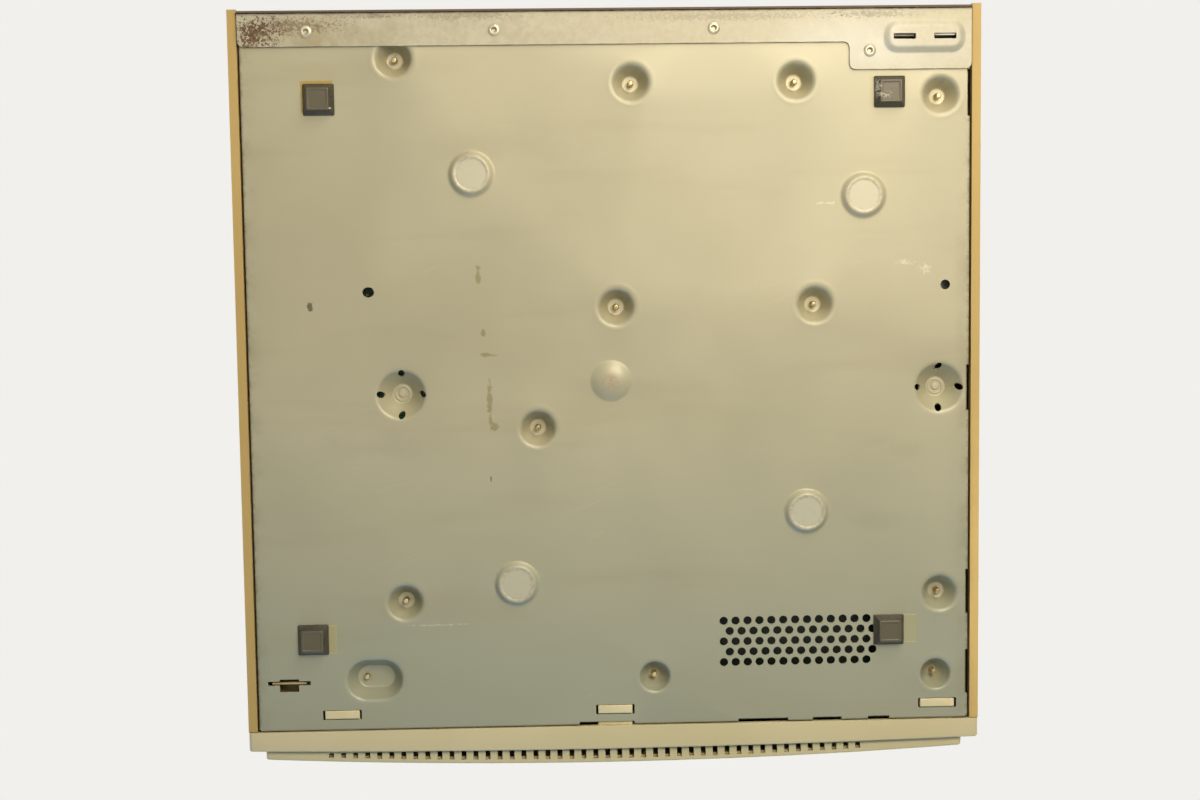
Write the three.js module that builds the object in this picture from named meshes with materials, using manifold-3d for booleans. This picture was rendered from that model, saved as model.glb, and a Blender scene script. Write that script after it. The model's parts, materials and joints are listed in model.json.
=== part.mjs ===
import * as THREE from 'three';
import { mergeVertices } from 'three/addons/utils/BufferGeometryUtils.js';
import Module from 'manifold-3d';

const wasm = await Module();
wasm.setup();

// A desktop home computer. Sizes are in millimetres. X runs to the right of someone who faces
// the front, Z is up from the table, and Y runs to the rear from the joint of bezel and cover.

// Case
const caseWidth = 380;
const caseTop = 118;
const coverDepth = 368.6;
const footHeight = 5;
const sheet = 1;
const fit = 0.3;
const overrun = 1;

// Top cover
const coverWall = 3;
const coverCorner = 8;
const coverLipWidth = 4.5;
const coverLipHeight = 4;
const coverVentWidth = 2.6;
const coverVentHeight = 42;
const coverVentPitch = 7;
const coverVentSill = 34;
const coverVentCount = 16;
const coverVentStartShare = 0.6;
const coverScrewShare = 0.36;
const coverScrewRise = 18;
const coverScrewHead = 4;
const coverScrewHeadDepth = 1.4;
const coverScrewReach = 10;

// Bottom pan
const panGap = 0.9;
const panSideHeight = 32;
const panFrontHeight = 14;
const panRearHeight = 9;
const sideNotchLength = 23.6;
const sideNotchDepth = 1.7;
const sideNotchShares = [0.067, 0.182, 0.471, 0.879];
const frontNotchDepth = 1.9;
const frontNotchHeight = 4;
const frontNotchShares = [[0.024, 0.155], [-0.4185, 0.141], [-0.6, 0.082], [-0.746, 0.061]];

// Wells in the pan, by what their screws hold. In X each has an offset from the edge of what
// it holds, or a share of the pan's half width, and in Y a share of the cover's depth
const wellDepth = 9;
const wellRim = 9.15;
const wellShoulder = 8.2;
const wellShoulderDepth = 1.1;
const wellFloor = 4.3;
const wellSpots = {
  board_rear_right: { shareX: 0.582, shareY: 0.932 },
  board_rear_left: { edge: 'board', offset: 34.3, shareY: 0.897 },
  board_middle: { edge: 'board', offset: 43, shareY: 0.59 },
  board_front: { edge: 'board', offset: 84, shareY: 0.423 },
  supply_rear_right: { edge: 'supply', offset: -45.5, shareY: 0.897 },
  supply_rear_left: { edge: 'left', offset: 15.2, shareY: 0.876 },
  supply_front: { edge: 'supply', offset: -54.8, shareY: 0.59 },
  cage_rear: { shareX: 0.583, shareY: 0.181 },
  tray_rear_left: { edge: 'left', offset: 15, shareY: 0.181 },
};
const dimpleRim = 7.5;
const dimpleShoulder = 6.6;
const dimpleShoulderDepth = 4;
const dimpleFloor = 2.9;
const dimpleSpots = {
  tray_right: { shareX: -0.113, shareY: 0.069 },
  tray_front_left: { edge: 'left', offset: 17, shareY: 0.065 },
};
const oblongFloorLength = 19.4;
const oblongFloorWidth = 11.6;
const oblongSpread = 5.2;
const oblongScrewOffset = 4.8;
const oblongShare = [0.673, 0.072];
const slottedRim = 12.8;
const slottedShoulder = 11.4;
const slottedShoulderDepth = 1.4;
const slottedFloor = 5;
const slottedRing = 10.6;
const slottedHole = 1.7;
const slottedSpots = {
  right_side: { shareX: 0.581, shareY: 0.473 },
  left_side: { edge: 'left', offset: 15.6, shareY: 0.472 },
};

// Discs and dome that stand out of the pan, round holes, vent field and slot of the drive cage
const discHeight = 2.7;
const discBase = 11.75;
const discTop = 8.7;
const discShares = [[0.377, 0.775], [-0.704, 0.74], [-0.543, 0.3], [0.27, 0.205]];
const domeHeight = 2.5;
const domeBase = 10.3;
const domeShoulder = 7.6;
const domeShoulderShare = 0.55;
const domeShare = [0, 0.4875];
const smallHole = 2.7;
const smallHoleShares = [[0.665, 0.615], [-0.932, 0.615]];
const ventHole = 1.85;
const ventPitch = 6.21;
const ventRowPitch = 5.45;
const ventColumns = 13;
const ventRows = 5;
const ventStartShare = [-0.308, 0.1465];
const cageSlotShare = [0.912, 0.0695];
const cageSlotLength = 22;
const cageSlotWidth = 2.2;
const cageMouthLength = 9.9;
const cageMouthWidth = 6.6;
const cageMouthOffset = -1.2;

// Front bezel
const bezelDrop = 0.6;
const bezelWall = 2.5;
const bezelFootCorner = 2;
const rimEnds = 9.9;
const rimMiddle = 12.4;
const faceEnds = 15.2;
const faceMiddle = 20.4;
const faceSideInset = 8;
const faceTopInset = 6;
const faceDrop = 3;
const faceCorner = 5;
const bezelVentCount = 45;
const bezelVentPitch = 6.257;
const bezelVentWidth = 2.6;
const bezelVentMiddleShare = 0.0565;
const bezelVentLip = 1.3;
const hookShares = [0.7665, 0, -0.913];
const hookWidth = 17.9;
const hookSlotLength = 20;
const hookSlotWidth = 5.1;
const hookSetback = 8.5;
const tongueThickness = 2;
const tongueTail = 1.8;
const tongueRoot = 6;

// Rubber feet
const footBase = 15.8;
const footSole = 10.6;
const footInsets = {
  foot_rear_right: { right: 39.3, rear: 43.3 },
  foot_rear_left: { left: 41.4, rear: 42.2 },
  foot_front_right: { right: 29.3, front: 48.3 },
  foot_front_left: { left: 41.7, front: 47.9 },
};

// Rear panel, its flange under the pan, and the rivets
const rearRecess = 1.7;
const panelSideGap = 5;
const panelTopGap = 0.5;
const flangeReach = 17.1;
const flangeWideReach = 31;
const flangeWideShare = -0.665;
const flangeCorner = 3;
const padLength = 40.7;
const padWidth = 15.5;
const padCorner = 5;
const padSpread = 2.4;
const padHeight = 1.6;
const padShare = -0.871;
const padSetback = 14.8;
const padSlotLength = 11.2;
const padSlotWidth = 2.7;
const padSlotOffset = 10.3;
const rivetHead = 3.1;
const rivetHeadHeight = 0.8;
const rivetShank = 1.6;
const rivetTail = 2.5;
const rivetBore = 1;
const rivetSetback = 9.7;
const wideRivetSetback = 21.6;
const rivetShares = [0.816, 0.3065, -0.2925];
const wideRivetShare = -0.7205;

// Screws whose tips come through the wells
const screwShank = 1.5;
const screwHead = 3.1;
const screwHeadHeight = 2;
const screwTipReach = 2.6;
const screwTipShare = 0.6;
const screwCrownShare = 0.6;

// Motherboard and what stands on it
const boardThickness = 1.6;
const boardSupplyGap = 3.9;
const boardRightShare = 0.95;
const boardFrontShare = 0.4;
const boardRearShare = 0.95;
const processorSide = 42;
const processorHeight = 4;
const processorShare = 0.5;
const processorRibbonGap = 24.9;
const memoryLength = 108;
const memoryHeight = 25.4;
const memoryShare = [0.55, 0.75];
const batteryRadius = 10;
const batteryHeight = 4;
const batteryShare = [0.82, 0.52];
const riserInset = 11.1;
const riserScrewGap = 8;
const riserTopGap = 10;
const riserSlotWidth = 9;
const riserSlotLength = 110;
const riserSlotHeight = 8;

// Slot covers
const slotCoverReach = 64.6;
const slotCoverLength = 118;
const slotCoverGap = 1.92;
const slotSillGap = 15.4;
const slotTopGap = 7.04;
const slotCount = 3;
const slotWindowLength = 108;
const slotWindowEdge = 3.2;

// Sockets at the rear
const portDepth = 14;
const portHeight = 12.5;
const portReach = 2;
const shellHeight = 8.4;
const shellSlant = 1.4;
const shellLip = 0.8;
const plugSocketWidth = 16;
const plugSocketHeight = 15;
const plugSocketBore = 6;
const plugSocketBoreDepth = 8;
const keyboardShare = 0.88;
const shellPorts = {
  printer_port: { placeShare: 0.6, body: 53, shell: 39 },
  serial_port: { placeShare: 0.3, body: 31, shell: 17 },
  monitor_port: { placeShare: 0.06, body: 31, shell: 17 },
};

// Power supply with its fan and inlet
const supplyLeft = 8;
const supplyWidth = 130;
const supplyFrontEdge = 21.9;
const supplyTopShare = 0.89;
const supplyVentCount = 12;
const supplyVentWidth = 3;
const supplyVentEdge = 20;
const supplyVentPitch = 8;
const fanShare = 0.8887;
const fanInset = 1.3;
const fanDepth = 25;
const fanRim = 3;
const fanHub = 16;
const fanHubWall = 3;
const fanStrut = 5;
const fanShaft = 2;
const fanBladeCount = 7;
const fanBladeThickness = 1.5;
const fanBladeDepth = 14;
const fanBladeTilt = Math.PI / 5;
const fanTipGap = 2;
const grilleSlot = 4;
const grillePitch = 7;
const inletInset = 17;
const inletRise = 36;
const inletWidth = 27;
const inletHeight = 20;
const inletDepth = 22;
const inletFlange = 2;
const inletFlangeLip = 2.5;
const inletWall = 2.4;
const inletCavity = 15;
const inletPinLength = 9;
const inletPinWidth = 2;
const inletPinHeight = 4;
const inletPinOffset = 6.5;

// Diskette drives in their cage
const driveShare = 0.62;
const driveWidth = 101.6;
const driveHeight = 25.4;
const driveDepth = 142;
const driveSills = { drive_a: 24, drive_b: 54 };
const driveFaceDepth = 4;
const driveFaceRecess = 0.5;
const diskSlotWidth = 92.6;
const diskSlotHeight = 5.4;
const diskSlotRise = 12.4;
const diskCavityDepth = 92;
const doorThickness = 1.2;
const doorRecess = 1.2;
const doorPin = 0.5;
const doorPinLength = 1.2;
const doorPinPlay = 0.1;
const ejectWidth = 14;
const ejectHeight = 6;
const ejectRise = 3;
const ejectOffset = 36;
const ejectProud = 2;
const ejectDepth = 9;
const ejectPocket = 8;
const cageFront = 8;
const cageBoardGap = 11.4;
const cageWing = 10;
const cageStrap = 14;
const cageTabThickness = 1;
const shroudWall = 2;
const shroudDepth = 10;

// Drive ribbon
const ribbonWidth = 44;
const ribbonThickness = 1.2;
const ribbonReach = 26;
const ribbonRise = 34;
const ribbonSteps = 10;

// Hard disk on its tray
const hardDriveHeight = 25.4;
const hardDriveInsetX = 11;
const hardDriveInsetY = 3.2;
const trayLeftEdge = 7.4;
const trayRightEdge = 11.9;
const trayFrontShare = 0.0326;
const trayRearShare = 0.3256;
const trayRail = 4;
const trayRailHeight = 3.3;
const trayRailShares = [0.1655, 0.272];
const trayWindowShares = [[-0.785, 0.0733], [-0.245, 0.1546]];

// Controls behind the bezel
const controlDrop = 26;
const controlBoardLeftShare = -0.92;
const controlBoardRightShare = -0.53;
const controlBoardDrop = 20;
const controlBoardRise = 18;
const controlBoardSet = 5.5;
const postRadius = 3;
const postInset = 7;
const buttonProud = 2.4;
const buttonDepth = 9;
const collarHeight = 1;
const collarLip = 1.2;
const collarGap = 0.8;
const powerButton = { placeShare: -0.823, radius: 7 };
const resetButton = { placeShare: -0.693, radius: 3 };
const lightShare = -0.6;
const lightWidth = 8;
const lightHeight = 3;
const lightProud = 0.3;
const lightDepth = 6;
const wheelShare = -0.639;
const wheelRadius = 11;
const wheelThickness = 4;
const wheelDrop = 34;
const wheelProud = 1.8;
const wheelSlotMargin = 0.5;
const wheelShaft = 2;
const wheelShaftLength = 4;
const potWidth = 12;
const potHeight = 12;
const speakerShare = -0.325;
const speakerRise = 53;
const speakerRadius = 28.5;
const speakerRim = 3;
const speakerMagnet = 14;
const speakerNeck = 11;
const speakerDepth = 20;
const speakerGrilleCount = 7;
const speakerGrillePitch = 5;
const speakerGrilleSlot = 2.2;
const speakerGrilleLength = 42;

// Facets of round pieces
const fineSides = 20;
const roundSides = 14;
const smallSides = 8;
const holeSides = 6;
const footSides = 4;
const bowSteps = 6;
const cornerSteps = 2;

// Places that follow from the sizes above
const halfWidth = caseWidth / 2;
const panBottom = footHeight;
const panTop = panBottom + sheet;
const panHalf = halfWidth - coverLipWidth - panGap;
const wellTop = panBottom + wellDepth + sheet;
const boardTop = wellTop + boardThickness;
const rearFace = coverDepth - rearRecess;
const rearInner = rearFace - sheet;
const panRear = rearInner - fit;
const flangeBottom = panBottom - sheet;
const panelHalf = halfWidth - panelSideGap;
const bezelBottom = panBottom - bezelDrop;
const faceHalf = halfWidth - faceSideInset;
const faceBottom = bezelBottom + faceDrop;
const faceTop = caseTop - faceTopInset;
const frontReach = faceMiddle;
const rearReach = rearFace + portReach;
const acrossPan = (share) => share * panHalf;
const alongPan = (share) => share * coverDepth;
const onPan = ([x, y]) => [acrossPan(x), alongPan(y)];

// Finishes as they look in the photograph, or as such pieces usually look
const panSteel = { color: 0xb9b18d, roughness: 0.5, metalness: 0.3 };
const flangeSteel = { color: 0xc4bb98, roughness: 0.5, metalness: 0.3 };
const plainSteel = { color: 0xb4b2aa, roughness: 0.4, metalness: 0.8 };
const screwSteel = { color: 0xc2ae84, roughness: 0.35, metalness: 0.9 };
const coverPlastic = { color: 0xcfae68, roughness: 0.5, metalness: 0 };
const bezelPlastic = { color: 0xbdb285, roughness: 0.5, metalness: 0 };
const buttonPlastic = { color: 0xa89f80, roughness: 0.45, metalness: 0 };
const darkPlastic = { color: 0x24231f, roughness: 0.5, metalness: 0 };
const footRubber = { color: 0x5a5244, roughness: 0.85, metalness: 0 };
const boardGreen = { color: 0x2c5a38, roughness: 0.45, metalness: 0 };
const lightGreen = { color: 0x5fae4a, roughness: 0.2, metalness: 0 };
const ribbonGrey = { color: 0x8f918f, roughness: 0.7, metalness: 0 };

// A closed geometry as a solid that can be joined and cut
function solid(geometry) {
  geometry.deleteAttribute('normal');
  geometry.deleteAttribute('uv');
  const merged = mergeVertices(geometry);
  const corners = merged.index.array;
  const kept = [];
  for (let i = 0; i < corners.length; i += 3) {
    const [a, b, c] = corners.slice(i, i + 3);
    if (a !== b && b !== c && c !== a) kept.push(a, b, c);
  }
  return new wasm.Manifold(new wasm.Mesh({
    numProp: 3,
    vertProperties: merged.attributes.position.array,
    triVerts: Uint32Array.from(kept),
  }));
}

function geometryOf(body) {
  const { vertProperties, triVerts } = body.getMesh();
  const geometry = new THREE.BufferGeometry();
  geometry.setAttribute('position', new THREE.BufferAttribute(vertProperties, 3));
  geometry.setIndex(new THREE.BufferAttribute(triVerts, 1));
  geometry.computeVertexNormals();
  return geometry;
}

const join = (first, ...others) => others.reduce((body, other) => body.add(other), first);
const cut = (first, ...tools) => tools.reduce((body, tool) => body.subtract(tool), first);

// A block between its lowest and its highest corner
function block([x0, y0, z0], [x1, y1, z1]) {
  const box = new THREE.BoxGeometry(x1 - x0, y1 - y0, z1 - z0);
  box.translate((x0 + x1) / 2, (y0 + y1) / 2, (z0 + z1) / 2);
  return solid(box);
}

// Round bars, straight or tapered, along each axis
function postAlongZ([x, y], z0, z1, radius, endRadius = radius, sides = roundSides) {
  const bar = new THREE.CylinderGeometry(endRadius, radius, z1 - z0, sides);
  bar.rotateX(Math.PI / 2);
  bar.translate(x, y, (z0 + z1) / 2);
  return solid(bar);
}

function postAlongY([x, z], y0, y1, radius, sides = roundSides) {
  const bar = new THREE.CylinderGeometry(radius, radius, y1 - y0, sides);
  bar.translate(x, (y0 + y1) / 2, z);
  return solid(bar);
}

function postAlongX([y, z], x0, x1, radius, sides = smallSides) {
  const bar = new THREE.CylinderGeometry(radius, radius, x1 - x0, sides);
  bar.rotateZ(Math.PI / 2);
  bar.translate((x0 + x1) / 2, y, z);
  return solid(bar);
}

// An outline drawn in X and Y, given a thickness in Z
function slab(shape, z0, z1, steps = cornerSteps) {
  const body = new THREE.ExtrudeGeometry(shape,
    { depth: z1 - z0, bevelEnabled: false, curveSegments: steps });
  body.translate(0, 0, z0);
  return solid(body);
}

// An outline drawn in X and Z, given a length in Y
function profile(shape, y0, y1) {
  const body = new THREE.ExtrudeGeometry(shape,
    { depth: y1 - y0, bevelEnabled: false, curveSegments: cornerSteps });
  body.rotateX(Math.PI / 2);
  body.translate(0, y1, 0);
  return solid(body);
}

// An outline drawn in Y and Z, given a length in X
function strip(shape, x0, x1) {
  const body = new THREE.ExtrudeGeometry(shape, { depth: x1 - x0, bevelEnabled: false });
  body.rotateX(Math.PI / 2);
  body.rotateZ(Math.PI / 2);
  body.translate(x0, 0, 0);
  return solid(body);
}

// A body turned about an axis along Z, from pairs of radius and height that go upwards
function turned([x, y], pairs, sides = roundSides) {
  const points = pairs.map(([radius, height]) => new THREE.Vector2(radius, height));
  const body = new THREE.LatheGeometry(points, sides);
  body.rotateX(Math.PI / 2);
  body.translate(x, y, 0);
  return solid(body);
}

// A rectangle with one radius at its upper corners and another at its lower ones
function rounded(x0, y0, x1, y1, upper, lower = upper) {
  const shape = new THREE.Shape();
  shape.moveTo(x0 + lower, y0);
  shape.lineTo(x1 - lower, y0);
  shape.absarc(x1 - lower, y0 + lower, lower, -Math.PI / 2, 0);
  shape.absarc(x1 - upper, y1 - upper, upper, 0, Math.PI / 2);
  shape.absarc(x0 + upper, y1 - upper, upper, Math.PI / 2, Math.PI);
  shape.absarc(x0 + lower, y0 + lower, lower, Math.PI, Math.PI * 3 / 2);
  return shape;
}

// A body between two rounded rectangles, each the same one grown by its own amount
function tapered([x, y], lengthX, lengthY, corner, [z0, grow0], [z1, grow1]) {
  const outline = (grow) => rounded(
    x - lengthX / 2 - grow, y - lengthY / 2 - grow,
    x + lengthX / 2 + grow, y + lengthY / 2 + grow, corner + grow,
  ).extractPoints(cornerSteps).shape.slice(0, -1);
  const lower = outline(grow0);
  const upper = outline(grow1);
  const count = lower.length;
  const index = [];
  for (let i = 0; i < count; i += 1) {
    const next = (i + 1) % count;
    index.push(i, next, next + count, i, next + count, i + count);
  }
  for (const [a, b, c] of THREE.ShapeUtils.triangulateShape(lower.slice(), [])) {
    index.push(c, b, a, a + count, b + count, c + count);
  }
  const places = [...lower.flatMap((p) => [p.x, p.y, z0]), ...upper.flatMap((p) => [p.x, p.y, z1])];
  const body = new THREE.BufferGeometry();
  body.setAttribute('position', new THREE.Float32BufferAttribute(places, 3));
  body.setIndex(index);
  return solid(body);
}

// The bow of the bezel is one arc through its ends and its middle
function bowRadius(halfSpan, ends, middle) {
  const rise = middle - ends;
  return (halfSpan ** 2 + rise ** 2) / (2 * rise);
}

function bowed(halfSpan, rear, ends, middle) {
  const radius = bowRadius(halfSpan, ends, middle);
  const swing = Math.asin(halfSpan / radius);
  const shape = new THREE.Shape();
  shape.moveTo(halfSpan, rear);
  shape.lineTo(-halfSpan, rear);
  shape.absarc(0, radius - middle, radius, -Math.PI / 2 - swing, -Math.PI / 2 + swing);
  return shape;
}

// Where the outer skin of the bezel's face lies at a given X
function faceAt(x) {
  const radius = bowRadius(faceHalf, faceEnds, faceMiddle);
  return radius - faceMiddle - Math.sqrt(radius ** 2 - x ** 2);
}

const computer = new THREE.Group();

function add(name, body, finish) {
  const mesh = new THREE.Mesh(geometryOf(body), new THREE.MeshStandardMaterial(finish));
  mesh.name = name;
  computer.add(mesh);
}

// Wells: the same turned profile once as the outer shell and once, lower and narrower, as the hollow
function wellPairs(rim, shoulder, shoulderDepth, floor, grow) {
  const base = panBottom + (grow > 0 ? sheet / 2 : -overrun);
  return [
    [0, base],
    [rim + grow, base],
    [rim + grow, panBottom + grow],
    [shoulder + grow, panBottom + shoulderDepth + grow],
    [floor + grow, panBottom + wellDepth + grow],
    [0, panBottom + wellDepth + grow],
  ];
}

function pressWell(pan, place, rim, shoulder, shoulderDepth, floor, sides = roundSides) {
  const shell = turned(place, wellPairs(rim, shoulder, shoulderDepth, floor, sheet), sides);
  const hollow = turned(place, wellPairs(rim, shoulder, shoulderDepth, floor, 0), sides);
  return pan.add(shell).subtract(hollow);
}

function pressDisc(pan, place, base, top, height, shoulder, shoulderHeight) {
  const pairs = (lift) => [
    [0, panBottom - height + lift],
    [top, panBottom - height + lift],
    [shoulder, panBottom - shoulderHeight + lift],
    [base, panBottom + lift],
    [base, panBottom + lift + sheet / 2],
    [0, panBottom + lift + sheet / 2],
  ];
  return pan.add(turned(place, pairs(0))).subtract(turned(place, pairs(sheet)));
}

// The supply stands in the left rear corner, with the fan and the inlet in its rear wall
const supplyLeftX = -panHalf + sheet + supplyLeft - coverLipWidth;
const supplyRightX = supplyLeftX + supplyWidth;
const supplyRear = rearInner - fit;
const supplyFront = alongPan(wellSpots.supply_front.shareY) - supplyFrontEdge;
const supplyTop = caseTop * supplyTopShare;
const fanSide = (supplyTop - wellTop) * fanShare;
const fanBore = fanSide / 2 - fanRim;
const fanPlace = [supplyLeftX + fanInset + fanSide / 2, (supplyTop + wellTop) / 2];
const inletPlace = [supplyRightX - inletInset, panBottom + inletRise];

// The motherboard lies to the right of the supply, and its riser sets where the slots are
const mainboardLeft = supplyRightX + boardSupplyGap;
const riserX = mainboardLeft + riserInset;
const slotCoverX = riserX + slotCoverReach;
const slotFieldBottom = boardTop + plugSocketHeight + slotSillGap;
const slotPitch = (caseTop - coverWall - slotTopGap - slotFieldBottom) / slotCount;
const slotCoverHeight = slotPitch - slotCoverGap;
const slotWindowHeight = slotCoverHeight - 2 * slotWindowEdge;
const slotMiddle = (i) => slotFieldBottom + (i + 1 / 2) * slotPitch;

const edges = { left: -panHalf, supply: supplyRightX, board: mainboardLeft };
const placeOf = ({ edge, offset, shareX, shareY }) => [
  edge ? edges[edge] + offset : acrossPan(shareX), alongPan(shareY)];
const placesOf = (spots) => Object.fromEntries(
  Object.entries(spots).map(([name, spot]) => [name, placeOf(spot)]));
const wellPlaces = placesOf(wellSpots);
const dimplePlaces = placesOf(dimpleSpots);
const oblongPlace = onPan(oblongShare);
const oblongScrew = [oblongPlace[0] + oblongScrewOffset, oblongPlace[1]];
const screwPlaces = { ...wellPlaces, ...dimplePlaces, cage_front: oblongScrew };
const screwHole = (place, z0, z1) => postAlongZ(
  place, z0, z1, screwShank + fit, screwShank + fit, smallSides);
const screwHoles = (group, z0, z1) => Object.entries(screwPlaces)
  .filter(([name]) => name.startsWith(group))
  .map(([, place]) => screwHole(place, z0, z1));

const hookPlaces = hookShares.map(acrossPan);
const rivetPlaces = [
  ...rivetShares.map((share) => [acrossPan(share), rearFace - rivetSetback]),
  [acrossPan(wideRivetShare), rearFace - wideRivetSetback],
];
const cageSlotPlace = onPan(cageSlotShare);
const coverScrewPlace = [alongPan(coverScrewShare), panBottom + coverScrewRise];

function bottomPan() {
  let pan = join(
    block([-panHalf, fit, panBottom], [panHalf, panRear, panTop]),
    block([-panHalf, fit, panBottom], [-panHalf + sheet, panRear, panBottom + panSideHeight]),
    block([panHalf - sheet, fit, panBottom], [panHalf, panRear, panBottom + panSideHeight]),
    block([-panHalf, fit, panBottom], [panHalf, fit + sheet, panBottom + panFrontHeight]),
    block([-panHalf, panRear - sheet, panBottom], [panHalf, panRear, panBottom + panRearHeight]),
  );
  for (const place of Object.values(wellPlaces)) {
    pan = pressWell(pan, place, wellRim, wellShoulder, wellShoulderDepth, wellFloor);
  }
  for (const place of Object.values(dimplePlaces)) {
    pan = pressWell(pan, place, dimpleRim, dimpleShoulder, dimpleShoulderDepth, dimpleFloor);
  }
  for (const place of Object.values(placesOf(slottedSpots))) {
    pan = pressWell(pan, place, slottedRim, slottedShoulder, slottedShoulderDepth, slottedFloor, fineSides);
    for (const [stepX, stepY] of [[1, 0], [0, 1], [-1, 0], [0, -1]]) {
      const hole = [place[0] + stepX * slottedRing, place[1] + stepY * slottedRing];
      pan = pan.subtract(postAlongZ(hole, panBottom - overrun, wellTop, slottedHole, slottedHole, holeSides));
    }
  }
  const oblongRound = oblongFloorWidth / 2;
  const oblong = (low, high) => tapered(
    oblongPlace, oblongFloorLength, oblongFloorWidth, oblongRound, low, high);
  pan = pan.add(oblong([panTop - sheet / 2, oblongSpread + sheet], [wellTop, sheet / 2]));
  pan = pan.subtract(oblong([panBottom, oblongSpread], [wellTop - sheet, 0]));
  for (const share of discShares) {
    pan = pressDisc(pan, onPan(share), discBase, discTop, discHeight, discBase, 0);
  }
  pan = pressDisc(pan, onPan(domeShare), domeBase, domeShoulder / 2, domeHeight, domeShoulder,
    domeHeight * domeShoulderShare);

  // Cuts in the floor and its flanges
  for (const share of smallHoleShares) {
    pan = pan.subtract(postAlongZ(onPan(share), panBottom - overrun, panTop + overrun, smallHole));
  }
  const [ventX, ventY] = onPan(ventStartShare);
  for (let row = 0; row < ventRows; row += 1) {
    for (let column = 0; column < ventColumns; column += 1) {
      const stagger = row % 2 === 0 ? 0 : ventPitch / 2;
      const place = [ventX - column * ventPitch - stagger, ventY - row * ventRowPitch];
      pan = pan.subtract(postAlongZ(
        place, panBottom - overrun, panTop + overrun, ventHole, ventHole, holeSides));
    }
  }
  const through = (x, y, lengthX, lengthY, top) => block(
    [x - lengthX / 2, y - lengthY / 2, panBottom - overrun], [x + lengthX / 2, y + lengthY / 2, top]);
  const floorCut = panTop + overrun;
  const [slotX, slotY] = cageSlotPlace;
  pan = cut(
    pan,
    through(slotX, slotY, cageSlotLength, cageSlotWidth, floorCut),
    through(slotX, slotY + cageMouthOffset, cageMouthLength, cageMouthWidth, floorCut),
    ...sideNotchShares.map((share) => through(
      -panHalf, alongPan(share), sideNotchDepth * 2, sideNotchLength, panTop + coverLipHeight)),
    ...frontNotchShares.map(([middle, width]) => through(
      acrossPan(middle), fit, acrossPan(width), frontNotchDepth * 2, panTop + frontNotchHeight)),
  );
  for (const x of hookPlaces) {
    const tongueGate = hookWidth / 2 + 2 * fit;
    pan = cut(
      pan,
      through(x, hookSetback, hookSlotLength, hookSlotWidth, floorCut),
      block([x - tongueGate, 0, panTop], [x + tongueGate, fit + sheet + overrun, panTop + frontNotchHeight]),
    );
  }
  for (const place of rivetPlaces) {
    pan = pan.subtract(screwHole(place, panBottom - overrun, floorCut));
  }
  for (const place of Object.values(screwPlaces)) {
    pan = pan.subtract(screwHole(place, wellTop - sheet - overrun, wellTop + overrun));
  }
  const sideScrew = postAlongX(coverScrewPlace, -halfWidth, halfWidth, screwShank + fit);
  add('bottom_pan', pan.subtract(sideScrew), panSteel);
}

function feet() {
  for (const [name, { left, right, front, rear }] of Object.entries(footInsets)) {
    const foot = new THREE.CylinderGeometry(
      footBase / Math.SQRT2, footSole / Math.SQRT2, footHeight, footSides);
    foot.rotateY(Math.PI / 4);
    foot.rotateX(Math.PI / 2);
    const x = left ? left - panHalf : panHalf - right;
    const y = front ?? rearFace - rear;
    foot.translate(x, y, footHeight / 2);
    add(name, solid(foot), footRubber);
  }
}

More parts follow.
